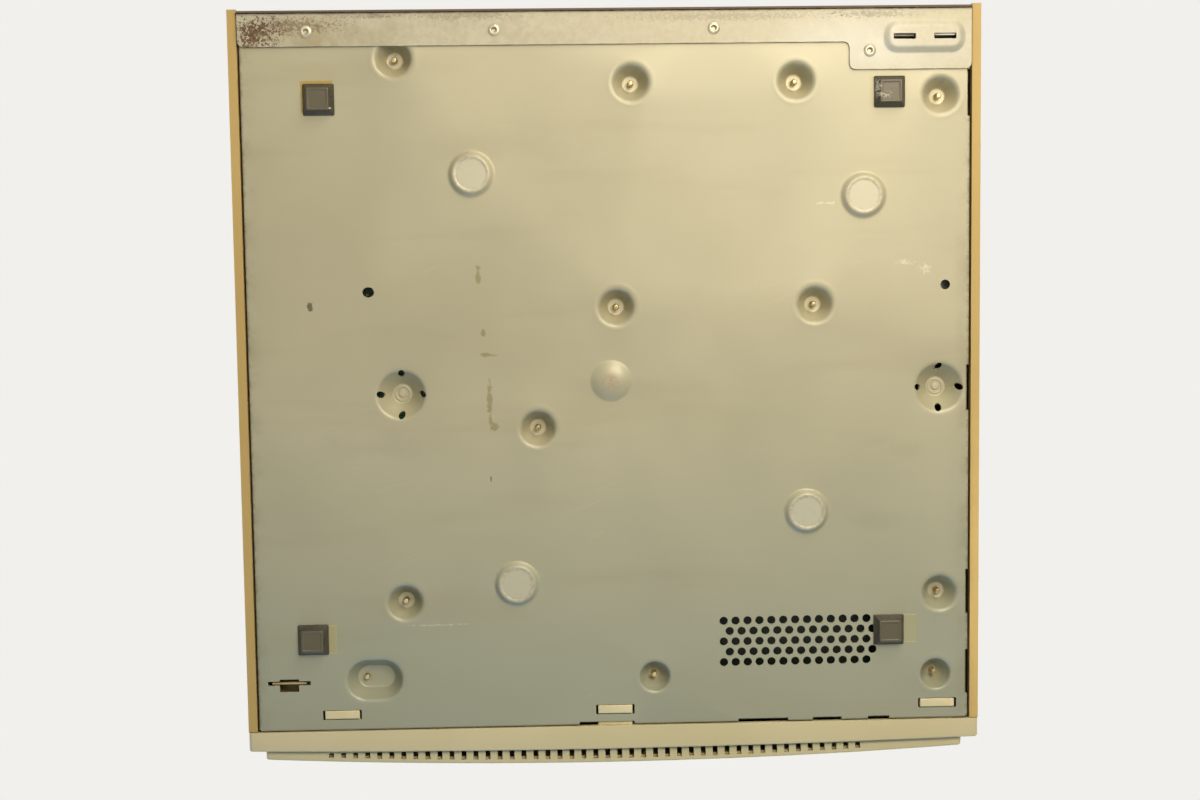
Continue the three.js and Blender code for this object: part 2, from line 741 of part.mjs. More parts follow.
function rearPanel() {
  const shape = new THREE.Shape();
  const wideX = acrossPan(flangeWideShare);
  const near = rearFace - flangeReach;
  const wide = rearFace - flangeWideReach;
  shape.moveTo(panelHalf, rearFace);
  shape.lineTo(-panelHalf, rearFace);
  shape.lineTo(-panelHalf, wide + flangeCorner);
  shape.absarc(-panelHalf + flangeCorner, wide + flangeCorner, flangeCorner, Math.PI, Math.PI * 3 / 2);
  shape.absarc(wideX - flangeCorner, wide + flangeCorner, flangeCorner, -Math.PI / 2, 0);
  shape.absarc(wideX + flangeCorner, near - flangeCorner, flangeCorner, Math.PI, Math.PI / 2, true);
  shape.absarc(panelHalf - flangeCorner, near + flangeCorner, flangeCorner, -Math.PI / 2, 0);
  let panel = join(
    slab(shape, flangeBottom, panBottom),
    profile(rounded(-panelHalf, flangeBottom, panelHalf, caseTop - coverWall - panelTopGap,
      coverCorner - coverWall, sheet), rearInner, rearFace),
  );

  // The pad, raised towards the table, and its two slots
  const padPlace = [acrossPan(padShare), rearFace - padSetback];
  const padBottom = flangeBottom - padHeight;
  const pad = (low, high) => tapered(
    padPlace, padLength - 2 * padSpread, padWidth - 2 * padSpread, padCorner - padSpread, low, high);
  panel = panel.add(pad([padBottom, 0], [flangeBottom + sheet / 2, padSpread]));
  panel = panel.subtract(pad([padBottom + sheet, -sheet / 2], [panBottom, padSpread - sheet / 2]));
  for (const side of [-1, 1]) {
    const x = padPlace[0] + side * padSlotOffset;
    panel = panel.subtract(block(
      [x - padSlotLength / 2, padPlace[1] - padSlotWidth / 2, padBottom - overrun],
      [x + padSlotLength / 2, padPlace[1] + padSlotWidth / 2, panBottom],
    ));
  }
  for (const place of rivetPlaces) {
    panel = panel.subtract(screwHole(place, flangeBottom - overrun, panBottom + overrun));
  }

  // Slots for the fan's air, each as long as the round opening behind it
  for (let rise = -fanBore + grillePitch / 2; rise < fanBore; rise += grillePitch) {
    const reach = Math.sqrt(Math.max(fanBore ** 2 - (Math.abs(rise) + grilleSlot / 2) ** 2, 0));
    if (reach > grilleSlot) panel = panel.subtract(panelWindow(fanPlace, [0, rise], reach * 2, grilleSlot));
  }
  panel = panel.subtract(panelWindow(inletPlace, [0, 0], inletWidth + 2 * fit, inletHeight + 2 * fit));
  for (let i = 0; i < slotCount; i += 1) {
    const middle = [slotCoverX, slotMiddle(i)];
    panel = panel.subtract(panelWindow(middle, [0, 0], slotWindowLength, slotWindowHeight));
  }
  const plugSocket = [acrossPan(keyboardShare), boardTop + plugSocketHeight / 2];
  panel = panel.subtract(panelWindow(
    plugSocket, [0, 0], plugSocketWidth + 2 * fit, plugSocketHeight + 2 * fit));
  for (const { placeShare, shell } of Object.values(shellPorts)) {
    const middle = [acrossPan(placeShare), boardTop + portHeight / 2];
    panel = panel.subtract(profile(shellOutline(middle, shell + 2 * fit, shellHeight + 2 * fit),
      rearInner - overrun, rearFace + overrun));
  }
  add('rear_panel', panel, flangeSteel);
}

// A rectangular hole through the rear panel
function panelWindow([x, z], [offsetX, offsetZ], length, height) {
  return block(
    [x + offsetX - length / 2, rearInner - overrun, z + offsetZ - height / 2],
    [x + offsetX + length / 2, rearFace + overrun, z + offsetZ + height / 2],
  );
}

// The slanted outline of a shielded connector, narrower at its foot
function shellOutline([x, z], length, height) {
  const shape = new THREE.Shape();
  shape.moveTo(x - length / 2 + shellSlant, z - height / 2);
  shape.lineTo(x + length / 2 - shellSlant, z - height / 2);
  shape.lineTo(x + length / 2, z + height / 2);
  shape.lineTo(x - length / 2, z + height / 2);
  return shape;
}

function rivets() {
  rivetPlaces.forEach((place, i) => {
    const body = turned(place, [
      [0, flangeBottom - rivetHeadHeight],
      [rivetHead - rivetHeadHeight, flangeBottom - rivetHeadHeight],
      [rivetHead, flangeBottom - rivetHeadHeight / 2],
      [rivetHead, flangeBottom],
      [rivetShank, flangeBottom],
      [rivetShank, panTop],
      [rivetTail, panTop],
      [rivetTail, panTop + rivetHeadHeight],
      [0, panTop + rivetHeadHeight],
    ], smallSides);
    const bore = postAlongZ(place, flangeBottom - rivetHeadHeight - overrun, panTop,
      rivetBore, rivetBore, smallSides);
    add(`flange_rivet_${i + 1}`, body.subtract(bore), plainSteel);
  });
}

// Each screw passes through the piece that it holds and through the floor of its well
function screws() {
  const held = { board: boardThickness, supply: sheet, cage: sheet, tray: sheet };
  for (const [name, place] of Object.entries(screwPlaces)) {
    const seat = wellTop + held[name.split('_')[0]];
    const tip = wellTop - sheet - screwTipReach;
    const body = turned(place, [
      [0, tip],
      [screwShank * screwTipShare, tip],
      [screwShank, tip + screwShank / 2],
      [screwShank, seat],
      [screwHead, seat],
      [screwHead, seat + screwHeadHeight / 2],
      [screwHead * screwCrownShare, seat + screwHeadHeight],
      [0, seat + screwHeadHeight],
    ], smallSides);
    add(`screw_${name}`, body, screwSteel);
  }
}

function topCover() {
  const shape = new THREE.Shape();
  const inner = halfWidth - coverWall;
  const lip = halfWidth - coverLipWidth;
  const lipTop = panBottom + coverLipHeight;
  const turn = caseTop - coverCorner;
  const innerCorner = coverCorner - coverWall;
  shape.moveTo(-halfWidth, panBottom);
  shape.lineTo(-lip, panBottom);
  shape.lineTo(-lip, lipTop);
  shape.lineTo(-inner, lipTop);
  shape.absarc(-halfWidth + coverCorner, turn, innerCorner, Math.PI, Math.PI / 2, true);
  shape.absarc(halfWidth - coverCorner, turn, innerCorner, Math.PI / 2, 0, true);
  shape.lineTo(inner, lipTop);
  shape.lineTo(lip, lipTop);
  shape.lineTo(lip, panBottom);
  shape.lineTo(halfWidth, panBottom);
  shape.absarc(halfWidth - coverCorner, turn, coverCorner, 0, Math.PI / 2);
  shape.absarc(-halfWidth + coverCorner, turn, coverCorner, Math.PI / 2, Math.PI);
  let cover = profile(shape, fit, coverDepth);
  const sill = panBottom + coverVentSill;
  for (let i = 0; i < coverVentCount; i += 1) {
    const y = alongPan(coverVentStartShare) + i * coverVentPitch;
    cover = cover.subtract(block(
      [-halfWidth - overrun, y, sill], [-inner + overrun, y + coverVentWidth, sill + coverVentHeight]));
    cover = cover.subtract(block(
      [inner - overrun, y, sill], [halfWidth + overrun, y + coverVentWidth, sill + coverVentHeight]));
  }
  for (const side of [-1, 1]) {
    const outer = side * (halfWidth + overrun);
    const seat = side * (halfWidth - coverScrewHeadDepth - fit);
    const hole = side * (inner - overrun);
    const span = (a, b) => [Math.min(a, b), Math.max(a, b)];
    cover = cover.subtract(postAlongX(coverScrewPlace, ...span(outer, seat), coverScrewHead + fit));
    cover = cover.subtract(postAlongX(coverScrewPlace, ...span(outer, hole), screwShank + fit));
    const head = side * (halfWidth - fit);
    const screw = postAlongX(coverScrewPlace, ...span(head, seat), coverScrewHead)
      .add(postAlongX(coverScrewPlace, ...span(head, head - side * coverScrewReach), screwShank));
    add(side < 0 ? 'cover_screw_left' : 'cover_screw_right', screw, screwSteel);
  }
  add('top_cover', cover, coverPlastic);
}

const driveX = acrossPan(driveShare);
const driveHalf = driveWidth / 2;
const driveFront = faceAt(driveX + driveHalf) + driveFaceRecess;
const driveFaceRear = driveFront + driveFaceDepth;
const driveSlot = (sill) => [sill + diskSlotRise, sill + diskSlotRise + diskSlotHeight];

// A diskette drive: steel chassis, plastic face, an eject button, and a flap that fills the face's
// slot and turns on a pin along its upper edge
function drives() {
  for (const [name, rise] of Object.entries(driveSills)) {
    const sill = panBottom + rise;
    const [slotBottom, slotTop] = driveSlot(sill);
    const slotHalf = diskSlotWidth / 2;
    const buttonX = driveX + ejectOffset;
    const button = (grow, y0, y1) => block(
      [buttonX - ejectWidth / 2 - grow, y0, sill + ejectRise - grow],
      [buttonX + ejectWidth / 2 + grow, y1, sill + ejectRise + ejectHeight + grow],
    );
    const chassis = cut(
      block([driveX - driveHalf, driveFaceRear, sill], [driveX + driveHalf, driveFaceRear + driveDepth,
        sill + driveHeight]),
      block([driveX - slotHalf - fit, driveFaceRear - overrun, slotBottom - fit],
        [driveX + slotHalf + fit, driveFaceRear + diskCavityDepth, slotTop + fit]),
      button(fit, driveFaceRear - overrun, driveFaceRear + ejectPocket),
    );
    const doorFront = driveFront + doorRecess;
    const pinPlace = [doorFront + doorThickness / 2, slotTop - fit - doorThickness / 2];
    const pin = (grow) => postAlongX(pinPlace, driveX - slotHalf - doorPinLength - grow,
      driveX + slotHalf + doorPinLength + grow, doorPin + grow);
    const face = cut(
      block([driveX - driveHalf, driveFront, sill], [driveX + driveHalf, driveFaceRear, sill + driveHeight]),
      block([driveX - slotHalf, driveFront - overrun, slotBottom],
        [driveX + slotHalf, driveFaceRear + overrun, slotTop]),
      button(fit, driveFront - overrun, driveFaceRear + overrun),
      pin(doorPinPlay),
    );
    const door = block([driveX - slotHalf + fit, doorFront, slotBottom + fit],
      [driveX + slotHalf - fit, doorFront + doorThickness, slotTop - fit]).add(pin(0));
    add(`${name}_chassis`, chassis, plainSteel);
    add(`${name}_face`, face, bezelPlastic);
    add(`${name}_door`, door, buttonPlastic);
    const buttonFront = driveFront - ejectProud;
    add(`${name}_eject`, button(0, buttonFront, buttonFront + ejectDepth), buttonPlastic);
  }
}

// The cage stands on its wells, holds both drives, and hooks a tab into the pan's slot
function driveCage() {
  const inner = driveHalf + fit;
  const outer = inner + sheet;
  const rear = alongPan(boardFrontShare) - cageBoardGap;
  const top = panBottom + driveSills.drive_b + driveHeight + fit + sheet;
  const floorTop = wellTop + sheet;
  const wing = acrossPan(cageSlotShare[0]) + cageWing;
  const tabHalf = cageSlotLength / 2 - cageSlotWidth;
  const tabY = cageSlotPlace[1] - cageTabThickness / 2;
  let cage = join(
    block([driveX - outer, cageFront, wellTop], [wing, rear, floorTop]),
    block([driveX - outer, cageFront, wellTop], [driveX - inner, rear, top]),
    block([driveX + inner, cageFront, wellTop], [driveX + outer, rear, top]),
    block([driveX - outer, cageFront, top - sheet], [driveX + outer, cageFront + cageStrap, top]),
    block([driveX - outer, rear - cageStrap, top - sheet], [driveX + outer, rear, top]),
    block([cageSlotPlace[0] - tabHalf, tabY, panBottom + fit],
      [cageSlotPlace[0] + tabHalf, tabY + cageTabThickness, floorTop]),
  );
  cage = cut(cage, ...screwHoles('cage', wellTop - overrun, floorTop + overrun));
  add('drive_cage', cage, plainSteel);
}

const ribbonStart = driveFaceRear + driveDepth + fit;
const ribbonEnd = ribbonStart + ribbonReach;

// A flat ribbon that hangs in one smooth bend from the lower drive to the motherboard
function driveRibbon() {
  const high = panBottom + ribbonRise;
  const low = boardTop + fit + ribbonThickness / 2;
  const bend = new THREE.CubicBezierCurve(
    new THREE.Vector2(ribbonStart, high),
    new THREE.Vector2(ribbonEnd, high),
    new THREE.Vector2(ribbonStart, low),
    new THREE.Vector2(ribbonEnd, low),
  );
  const along = Array.from({ length: ribbonSteps + 1 }, (_, i) => i / ribbonSteps);
  const edge = (side) => along.map((t) => {
    const heading = bend.getTangent(t);
    const offset = side * ribbonThickness / 2;
    return bend.getPoint(t).add(new THREE.Vector2(-heading.y * offset, heading.x * offset));
  });
  const outline = new THREE.Shape([...edge(-1), ...edge(1).reverse()]);
  add('drive_ribbon', strip(outline, driveX - ribbonWidth / 2, driveX + ribbonWidth / 2), ribbonGrey);
}

// The hard disk lies across two rails of its tray, clear of the screw heads
function hardDisk() {
  const left = screwPlaces.tray_rear_left[0] - trayLeftEdge;
  const right = screwPlaces.tray_right[0] + trayRightEdge;
  const front = alongPan(trayFrontShare);
  const rear = alongPan(trayRearShare);
  const floorTop = wellTop + sheet;
  const railTop = floorTop + trayRailHeight;
  const rails = trayRailShares.map((share) => block(
    [left + hardDriveInsetX, alongPan(share) - trayRail / 2, wellTop],
    [right - hardDriveInsetX, alongPan(share) + trayRail / 2, railTop]));
  const tray = cut(
    join(block([left, front, wellTop], [right, rear, floorTop]), ...rails),
    block([...onPan(trayWindowShares[0]), wellTop - overrun],
      [...onPan(trayWindowShares[1]), floorTop + overrun]),
    ...screwHoles('tray', wellTop - overrun, floorTop + overrun),
  );
  const drive = block([left + hardDriveInsetX, front + hardDriveInsetY, railTop],
    [right - hardDriveInsetX, rear - hardDriveInsetY, railTop + hardDriveHeight]);
  add('hard_drive_tray', tray, plainSteel);
  add('hard_drive', drive, plainSteel);
}

function motherboard() {
  const board = block([mainboardLeft, alongPan(boardFrontShare), wellTop],
    [acrossPan(boardRightShare), alongPan(boardRearShare), boardTop]);
  add('motherboard', cut(board, ...screwHoles('board', wellTop - overrun, boardTop + overrun)), boardGreen);

  const chipX = acrossPan(processorShare);
  const chipY = ribbonEnd + processorRibbonGap + processorSide / 2;
  add('main_processor', block([chipX - processorSide / 2, chipY - processorSide / 2, boardTop],
    [chipX + processorSide / 2, chipY + processorSide / 2, boardTop + processorHeight]), darkPlastic);
  const [memoryX, memoryY] = onPan(memoryShare);
  add('memory_module', block([memoryX - memoryLength / 2, memoryY, boardTop],
    [memoryX + memoryLength / 2, memoryY + boardThickness, boardTop + memoryHeight]), boardGreen);
  add('clock_battery', postAlongZ(onPan(batteryShare), boardTop, boardTop + batteryHeight, batteryRadius),
    plainSteel);

  // The riser card stands on the board and carries one connector for each expansion slot
  const riserRear = rearInner - slotCoverHeight;
  const riserTop = caseTop - coverWall - riserTopGap;
  const riserFront = screwPlaces.board_middle[1] + riserScrewGap;
  let riser = block([riserX - boardThickness / 2, riserFront, boardTop],
    [riserX + boardThickness / 2, riserRear, riserTop]);
  for (let i = 0; i < slotCount; i += 1) {
    const z = slotMiddle(i);
    const slotFront = (riserFront + riserRear - riserSlotLength) / 2;
    riser = riser.add(block([riserX, slotFront, z - riserSlotHeight / 2],
      [riserX + riserSlotWidth, slotFront + riserSlotLength, z + riserSlotHeight / 2]));
  }
  add('riser_card', riser, boardGreen);
}

// Blank covers behind the three slot windows, each with a lip folded forwards
function slotCovers() {
  const left = slotCoverX - slotCoverLength / 2;
  const right = slotCoverX + slotCoverLength / 2;
  for (let i = 0; i < slotCount; i += 1) {
    const bottom = slotMiddle(i) - slotCoverHeight / 2;
    const cover = block([left, rearInner - sheet, bottom], [right, rearInner, bottom + slotCoverHeight]);
    const lip = block([right - sheet, rearInner - slotCoverHeight / 2, bottom],
      [right, rearInner, bottom + slotCoverHeight]);
    add(`slot_cover_${i + 1}`, cover.add(lip), plainSteel);
  }
}

function rearSockets() {
  const keyX = acrossPan(keyboardShare);
  const keyZ = boardTop + plugSocketHeight / 2;
  const keyFront = rearFace + sheet;
  const keyboard = block([keyX - plugSocketWidth / 2, rearInner - portDepth, boardTop],
    [keyX + plugSocketWidth / 2, keyFront, boardTop + plugSocketHeight]);
  add('keyboard_port', keyboard.subtract(postAlongY([keyX, keyZ], keyFront - plugSocketBoreDepth,
    keyFront + overrun, plugSocketBore)), darkPlastic);
  for (const [name, { placeShare, body, shell }] of Object.entries(shellPorts)) {
    const x = acrossPan(placeShare);
    const middle = [x, boardTop + portHeight / 2];
    const socket = cut(
      join(
        block([x - body / 2, rearInner - portDepth, boardTop], [x + body / 2, rearInner - fit,
          boardTop + portHeight]),
        profile(shellOutline(middle, shell, shellHeight), rearInner - fit - overrun, rearReach),
      ),
      profile(shellOutline(middle, shell - 2 * shellLip, shellHeight - 2 * shellLip),
        rearReach - shellLip, rearReach + overrun),
    );
    add(name, socket, plainSteel);
  }
}

// The supply's steel case: open for the fan and the inlet behind, and vented in front
function powerSupply() {
  let shell = block([supplyLeftX, supplyFront, wellTop], [supplyRightX, supplyRear, supplyTop]).subtract(
    block([supplyLeftX + sheet, supplyFront + sheet, wellTop + sheet],
      [supplyRightX - sheet, supplyRear - sheet, supplyTop - sheet]));
  shell = cut(
    shell,
    postAlongY(fanPlace, supplyRear - sheet - overrun, supplyRear + overrun, fanBore, fineSides),
    block([inletPlace[0] - inletWidth / 2 - fit, supplyRear - sheet - overrun,
      inletPlace[1] - inletHeight / 2 - fit],
    [inletPlace[0] + inletWidth / 2 + fit, supplyRear + overrun, inletPlace[1] + inletHeight / 2 + fit]),
    ...screwHoles('supply', wellTop - overrun, wellTop + sheet + overrun),
  );
  const ventRow = (supplyVentCount - 1) * supplyVentPitch + supplyVentWidth;
  const ventStart = supplyLeftX + (supplyWidth - ventRow) / 2;
  for (let i = 0; i < supplyVentCount; i += 1) {
    const x = ventStart + i * supplyVentPitch;
    shell = shell.subtract(block([x, supplyFront - overrun, wellTop + supplyVentEdge],
      [x + supplyVentWidth, supplyFront + sheet + overrun, supplyTop - supplyVentEdge]));
  }
  add('power_supply_case', shell, plainSteel);

  // Mains inlet with a flange outside the panel and three pins
  const [x, z] = inletPlace;
  const outer = rearFace + inletFlange;
  const body = (grow, y0, y1) => block([x - inletWidth / 2 - grow, y0, z - inletHeight / 2 - grow],
    [x + inletWidth / 2 + grow, y1, z + inletHeight / 2 + grow]);
  let inlet = join(body(0, outer - inletDepth, outer), body(inletFlangeLip, rearFace, outer));
  inlet = inlet.subtract(body(-inletWall, outer - inletCavity, outer + overrun));
  for (const [stepX, stepZ] of [[-1, -1], [0, 1], [1, -1]]) {
    const pinX = x + stepX * inletPinOffset;
    const pinZ = z + stepZ * inletPinHeight / 2;
    const pinRoot = outer - inletCavity;
    inlet = inlet.add(block([pinX - inletPinWidth / 2, pinRoot - overrun, pinZ - inletPinHeight / 2],
      [pinX + inletPinWidth / 2, pinRoot + inletPinLength, pinZ + inletPinHeight / 2]));
  }
  add('power_inlet', inlet, darkPlastic);
}

// The fan: a frame with a motor cup on four struts, and a rotor whose shaft runs in the cup
function fan() {
  const [x, z] = fanPlace;
  const rear = supplyRear - sheet - fit;
  const front = rear - fanDepth;
  const strutRear = front + fanHubWall;
  const square = block([x - fanSide / 2, front, z - fanSide / 2], [x + fanSide / 2, rear, z + fanSide / 2]);
  let frame = square.subtract(postAlongY(fanPlace, front - overrun, rear + overrun, fanBore, fineSides));
  const reach = fanSide / 2;
  frame = join(
    frame,
    block([x - reach, front, z - fanStrut / 2], [x + reach, strutRear, z + fanStrut / 2]),
    block([x - fanStrut / 2, front, z - reach], [x + fanStrut / 2, strutRear, z + reach]),
    postAlongY(fanPlace, front, strutRear, fanHub),
  );
  const bearing = postAlongY(fanPlace, front - overrun, strutRear + overrun, fanShaft + fit, smallSides);
  add('fan_frame', frame.subtract(bearing), darkPlastic);

  const hubFront = strutRear + fit;
  const hubRear = hubFront + fanBladeDepth + 2 * fanHubWall;
  let rotor = join(
    postAlongY(fanPlace, hubFront, hubRear, fanHub),
    postAlongY(fanPlace, front, hubFront + overrun, fanShaft, smallSides),
  );
  const bladeReach = fanBore - fanTipGap;
  const bladeMiddle = (hubFront + hubRear) / 2;
  for (let i = 0; i < fanBladeCount; i += 1) {
    const blade = new THREE.BoxGeometry(fanBladeThickness, fanBladeDepth, bladeReach - fanHub / 2);
    blade.rotateZ(fanBladeTilt);
    blade.translate(0, 0, (bladeReach + fanHub / 2) / 2);
    blade.rotateY(i * 2 * Math.PI / fanBladeCount);
    blade.translate(x, bladeMiddle, z);
    rotor = rotor.add(solid(blade));
  }
  add('fan_rotor', rotor, darkPlastic);
}

const controlZ = faceTop - controlDrop;
const wheelX = acrossPan(wheelShare);
const wheelZ = controlZ - wheelDrop;
const wheelY = faceAt(wheelX) - wheelProud + wheelRadius;
const lightX = acrossPan(lightShare);
const speakerPlace = [acrossPan(speakerShare), panBottom + speakerRise];
const switchBoardFront = -controlBoardSet;
const switchBoardLeft = acrossPan(controlBoardLeftShare);
const switchBoardRight = acrossPan(controlBoardRightShare);
const switchBoardBottom = controlZ - controlBoardDrop;
const switchBoardTop = controlZ + controlBoardRise;
const postPlaces = [switchBoardLeft + postInset, switchBoardRight - postInset].flatMap((x) => (
  [switchBoardBottom + postInset / 2, switchBoardTop - postInset / 2].map((z) => [x, z])));

function frontBezel() {
  // Outer skin: a rim that continues the cover, and a face that stands further out
  const outerRim = slab(bowed(halfWidth, 0, rimEnds, rimMiddle), bezelBottom, caseTop, bowSteps).intersect(
    profile(rounded(-halfWidth, bezelBottom, halfWidth, caseTop, coverCorner, bezelFootCorner),
      -rimMiddle - overrun, 0));
  const faceSkin = (inset) => {
    const half = faceHalf - inset;
    const bow = bowed(half, inset, faceEnds - inset, faceMiddle - inset);
    return slab(bow, bezelBottom, caseTop, bowSteps).intersect(
      profile(rounded(-half, faceBottom + inset, half, faceTop - inset, faceCorner - inset / 2,
        bezelFootCorner), -faceMiddle - overrun, overrun + inset));
  };
  const rimHollow = slab(bowed(halfWidth - bezelWall, overrun, rimEnds - bezelWall, rimMiddle - bezelWall),
    bezelBottom + bezelWall, caseTop - bezelWall, bowSteps).intersect(
    profile(rounded(-halfWidth + bezelWall, bezelBottom + bezelWall, halfWidth - bezelWall,
      caseTop - bezelWall, coverCorner - bezelWall, bezelFootCorner), -rimMiddle - overrun, overrun));
  const outer = outerRim.add(faceSkin(0).subtract(
    block([-halfWidth, 0, 0], [halfWidth, overrun + bezelWall, caseTop])));
  let bezel = cut(outer, rimHollow, faceSkin(bezelWall));

  // Shroud around the drives and posts for the control board, no further out than the skin
  const driveBottom = panBottom + driveSills.drive_a;
  const driveTop = panBottom + driveSills.drive_b + driveHeight;
  const edge = fit + shroudWall;
  const inside = join(
    block([driveX - driveHalf - edge, -faceMiddle, driveBottom - edge],
      [driveX + driveHalf + edge, driveFront + shroudDepth, driveTop + edge]),
    ...postPlaces.map((place) => postAlongY(place, -faceMiddle, switchBoardFront, postRadius, smallSides)),
  );
  bezel = bezel.add(inside.intersect(outer.add(
    block([-faceHalf, -rimEnds, faceBottom], [faceHalf, 0, faceTop]))));
  for (const rise of Object.values(driveSills)) {
    const sill = panBottom + rise;
    bezel = bezel.subtract(block([driveX - driveHalf - fit, -faceMiddle - overrun, sill - fit],
      [driveX + driveHalf + fit, 0, sill + driveHeight + fit]));
  }

  // Openings for the controls
  for (const { placeShare, radius } of [powerButton, resetButton]) {
    bezel = bezel.subtract(postAlongY(
      [acrossPan(placeShare), controlZ], -faceMiddle - overrun, switchBoardFront, radius + fit));
  }
  bezel = cut(
    bezel,
    block([lightX - lightWidth / 2 - fit, -faceMiddle - overrun, controlZ - lightHeight / 2 - fit],
      [lightX + lightWidth / 2 + fit, switchBoardFront, controlZ + lightHeight / 2 + fit]),
    block([wheelX - wheelRadius + wheelSlotMargin, -faceMiddle - overrun,
      wheelZ - wheelThickness / 2 - wheelSlotMargin],
    [wheelX + wheelRadius - wheelSlotMargin, switchBoardFront,
      wheelZ + wheelThickness / 2 + wheelSlotMargin]),
  );
  const [speakerX, speakerZ] = speakerPlace;
  for (let i = 0; i < speakerGrilleCount; i += 1) {
    const z = speakerZ + (i - (speakerGrilleCount - 1) / 2) * speakerGrillePitch;
    bezel = bezel.subtract(block(
      [speakerX - speakerGrilleLength / 2, -faceMiddle - overrun, z - speakerGrilleSlot / 2],
      [speakerX + speakerGrilleLength / 2, -rimMiddle, z + speakerGrilleSlot / 2]));
  }

  // Air slots through the underside of the face, which follow its bow
  const ventMiddle = acrossPan(bezelVentMiddleShare);
  for (let i = 0; i < bezelVentCount; i += 1) {
    const x = ventMiddle + (i - (bezelVentCount - 1) / 2) * bezelVentPitch;
    bezel = bezel.subtract(block(
      [x - bezelVentWidth / 2, faceAt(x) + bezelVentLip, faceBottom - overrun],
      [x + bezelVentWidth / 2, -rimMiddle, faceBottom + bezelWall + overrun]));
  }

  // Tongues that run over the pan and drop a hook into each of its slots
  for (const x of hookPlaces) {
    const under = panTop + fit;
    bezel = join(
      bezel,
      block([x - hookWidth / 2, -tongueRoot, under],
        [x + hookWidth / 2, hookSetback + hookSlotWidth / 2 + tongueTail, under + tongueThickness]),
      block([x - hookWidth / 2, hookSetback - hookSlotWidth / 2 + fit, panBottom],
        [x + hookWidth / 2, hookSetback + hookSlotWidth / 2 - fit, under + overrun]),
    );
  }
  add('front_bezel', bezel, bezelPlastic);
}

// A round push button with a collar that keeps it behind the bezel's wall
function pushButton(name, { placeShare, radius }) {
  const x = acrossPan(placeShare);
  const place = [x, controlZ];
  const front = faceAt(x) - buttonProud;
  const collarReach = radius + collarLip;
  const collar = Math.max(faceAt(x - collarReach), faceAt(x + collarReach)) + bezelWall + collarGap;
  add(name, join(
    postAlongY(place, front, front + buttonDepth, radius),
    postAlongY(place, collar, collar + collarHeight, collarReach),
  ), buttonPlastic);
}

function controls() {
  pushButton('power_button', powerButton);
  pushButton('reset_button', resetButton);
  const lightFront = faceAt(lightX) - lightProud;
  add('power_light', block([lightX - lightWidth / 2, lightFront, controlZ - lightHeight / 2],
    [lightX + lightWidth / 2, lightFront + lightDepth, controlZ + lightHeight / 2]), lightGreen);

  // The volume wheel turns on a shaft in the body of its control, which hangs from the board
  const wheelTop = wheelZ + wheelThickness / 2;
  const potBottom = wheelTop + fit;
  const wheelPlace = [wheelX, wheelY];
  add('volume_wheel', join(
    postAlongZ(wheelPlace, wheelZ - wheelThickness / 2, wheelTop, wheelRadius, wheelRadius, fineSides),
    postAlongZ(wheelPlace, wheelZ, wheelTop + wheelShaftLength, wheelShaft, wheelShaft, smallSides),
  ), buttonPlastic);
  const board = join(
    block([switchBoardLeft, switchBoardFront, switchBoardBottom],
      [switchBoardRight, switchBoardFront + boardThickness, switchBoardTop]),
    block([wheelX - potWidth / 2, wheelY - potWidth / 2, potBottom],
      [wheelX + potWidth / 2, switchBoardFront + boardThickness, potBottom + potHeight]),
  );
  add('control_board', board.subtract(postAlongZ(wheelPlace, potBottom - overrun,
    wheelTop + wheelShaftLength + fit, wheelShaft + fit, wheelShaft + fit, smallSides)), boardGreen);

  // Loudspeaker behind the slots of the face
  const [x, z] = speakerPlace;
  const rimFront = faceAt(x - speakerRadius) + bezelWall + fit;
  const cone = new THREE.LatheGeometry([
    [0, rimFront],
    [speakerRadius, rimFront],
    [speakerRadius, rimFront + speakerRim],
    [speakerMagnet, rimFront + speakerNeck],
    [speakerMagnet, rimFront + speakerDepth],
    [0, rimFront + speakerDepth],
  ].map(([radius, y]) => new THREE.Vector2(radius, y)), fineSides);
  cone.translate(x, 0, z);
  add('speaker', solid(cone), darkPlastic);
}

bottomPan();
feet();
rearPanel();
rivets();
screws();
topCover();
frontBezel();
driveCage();
drives();
driveRibbon();
hardDisk();
motherboard();
slotCovers();
rearSockets();
powerSupply();
fan();
controls();

// The origin is under the middle of the whole machine, on the table
computer.position.y = (frontReach - rearReach) / 2;
const model = new THREE.Group();
model.add(computer);

export default model;
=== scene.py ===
import json
import math
import bmesh
import bpy
import numpy as np
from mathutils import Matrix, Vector
from mathutils.geometry import delaunay_2d_cdt


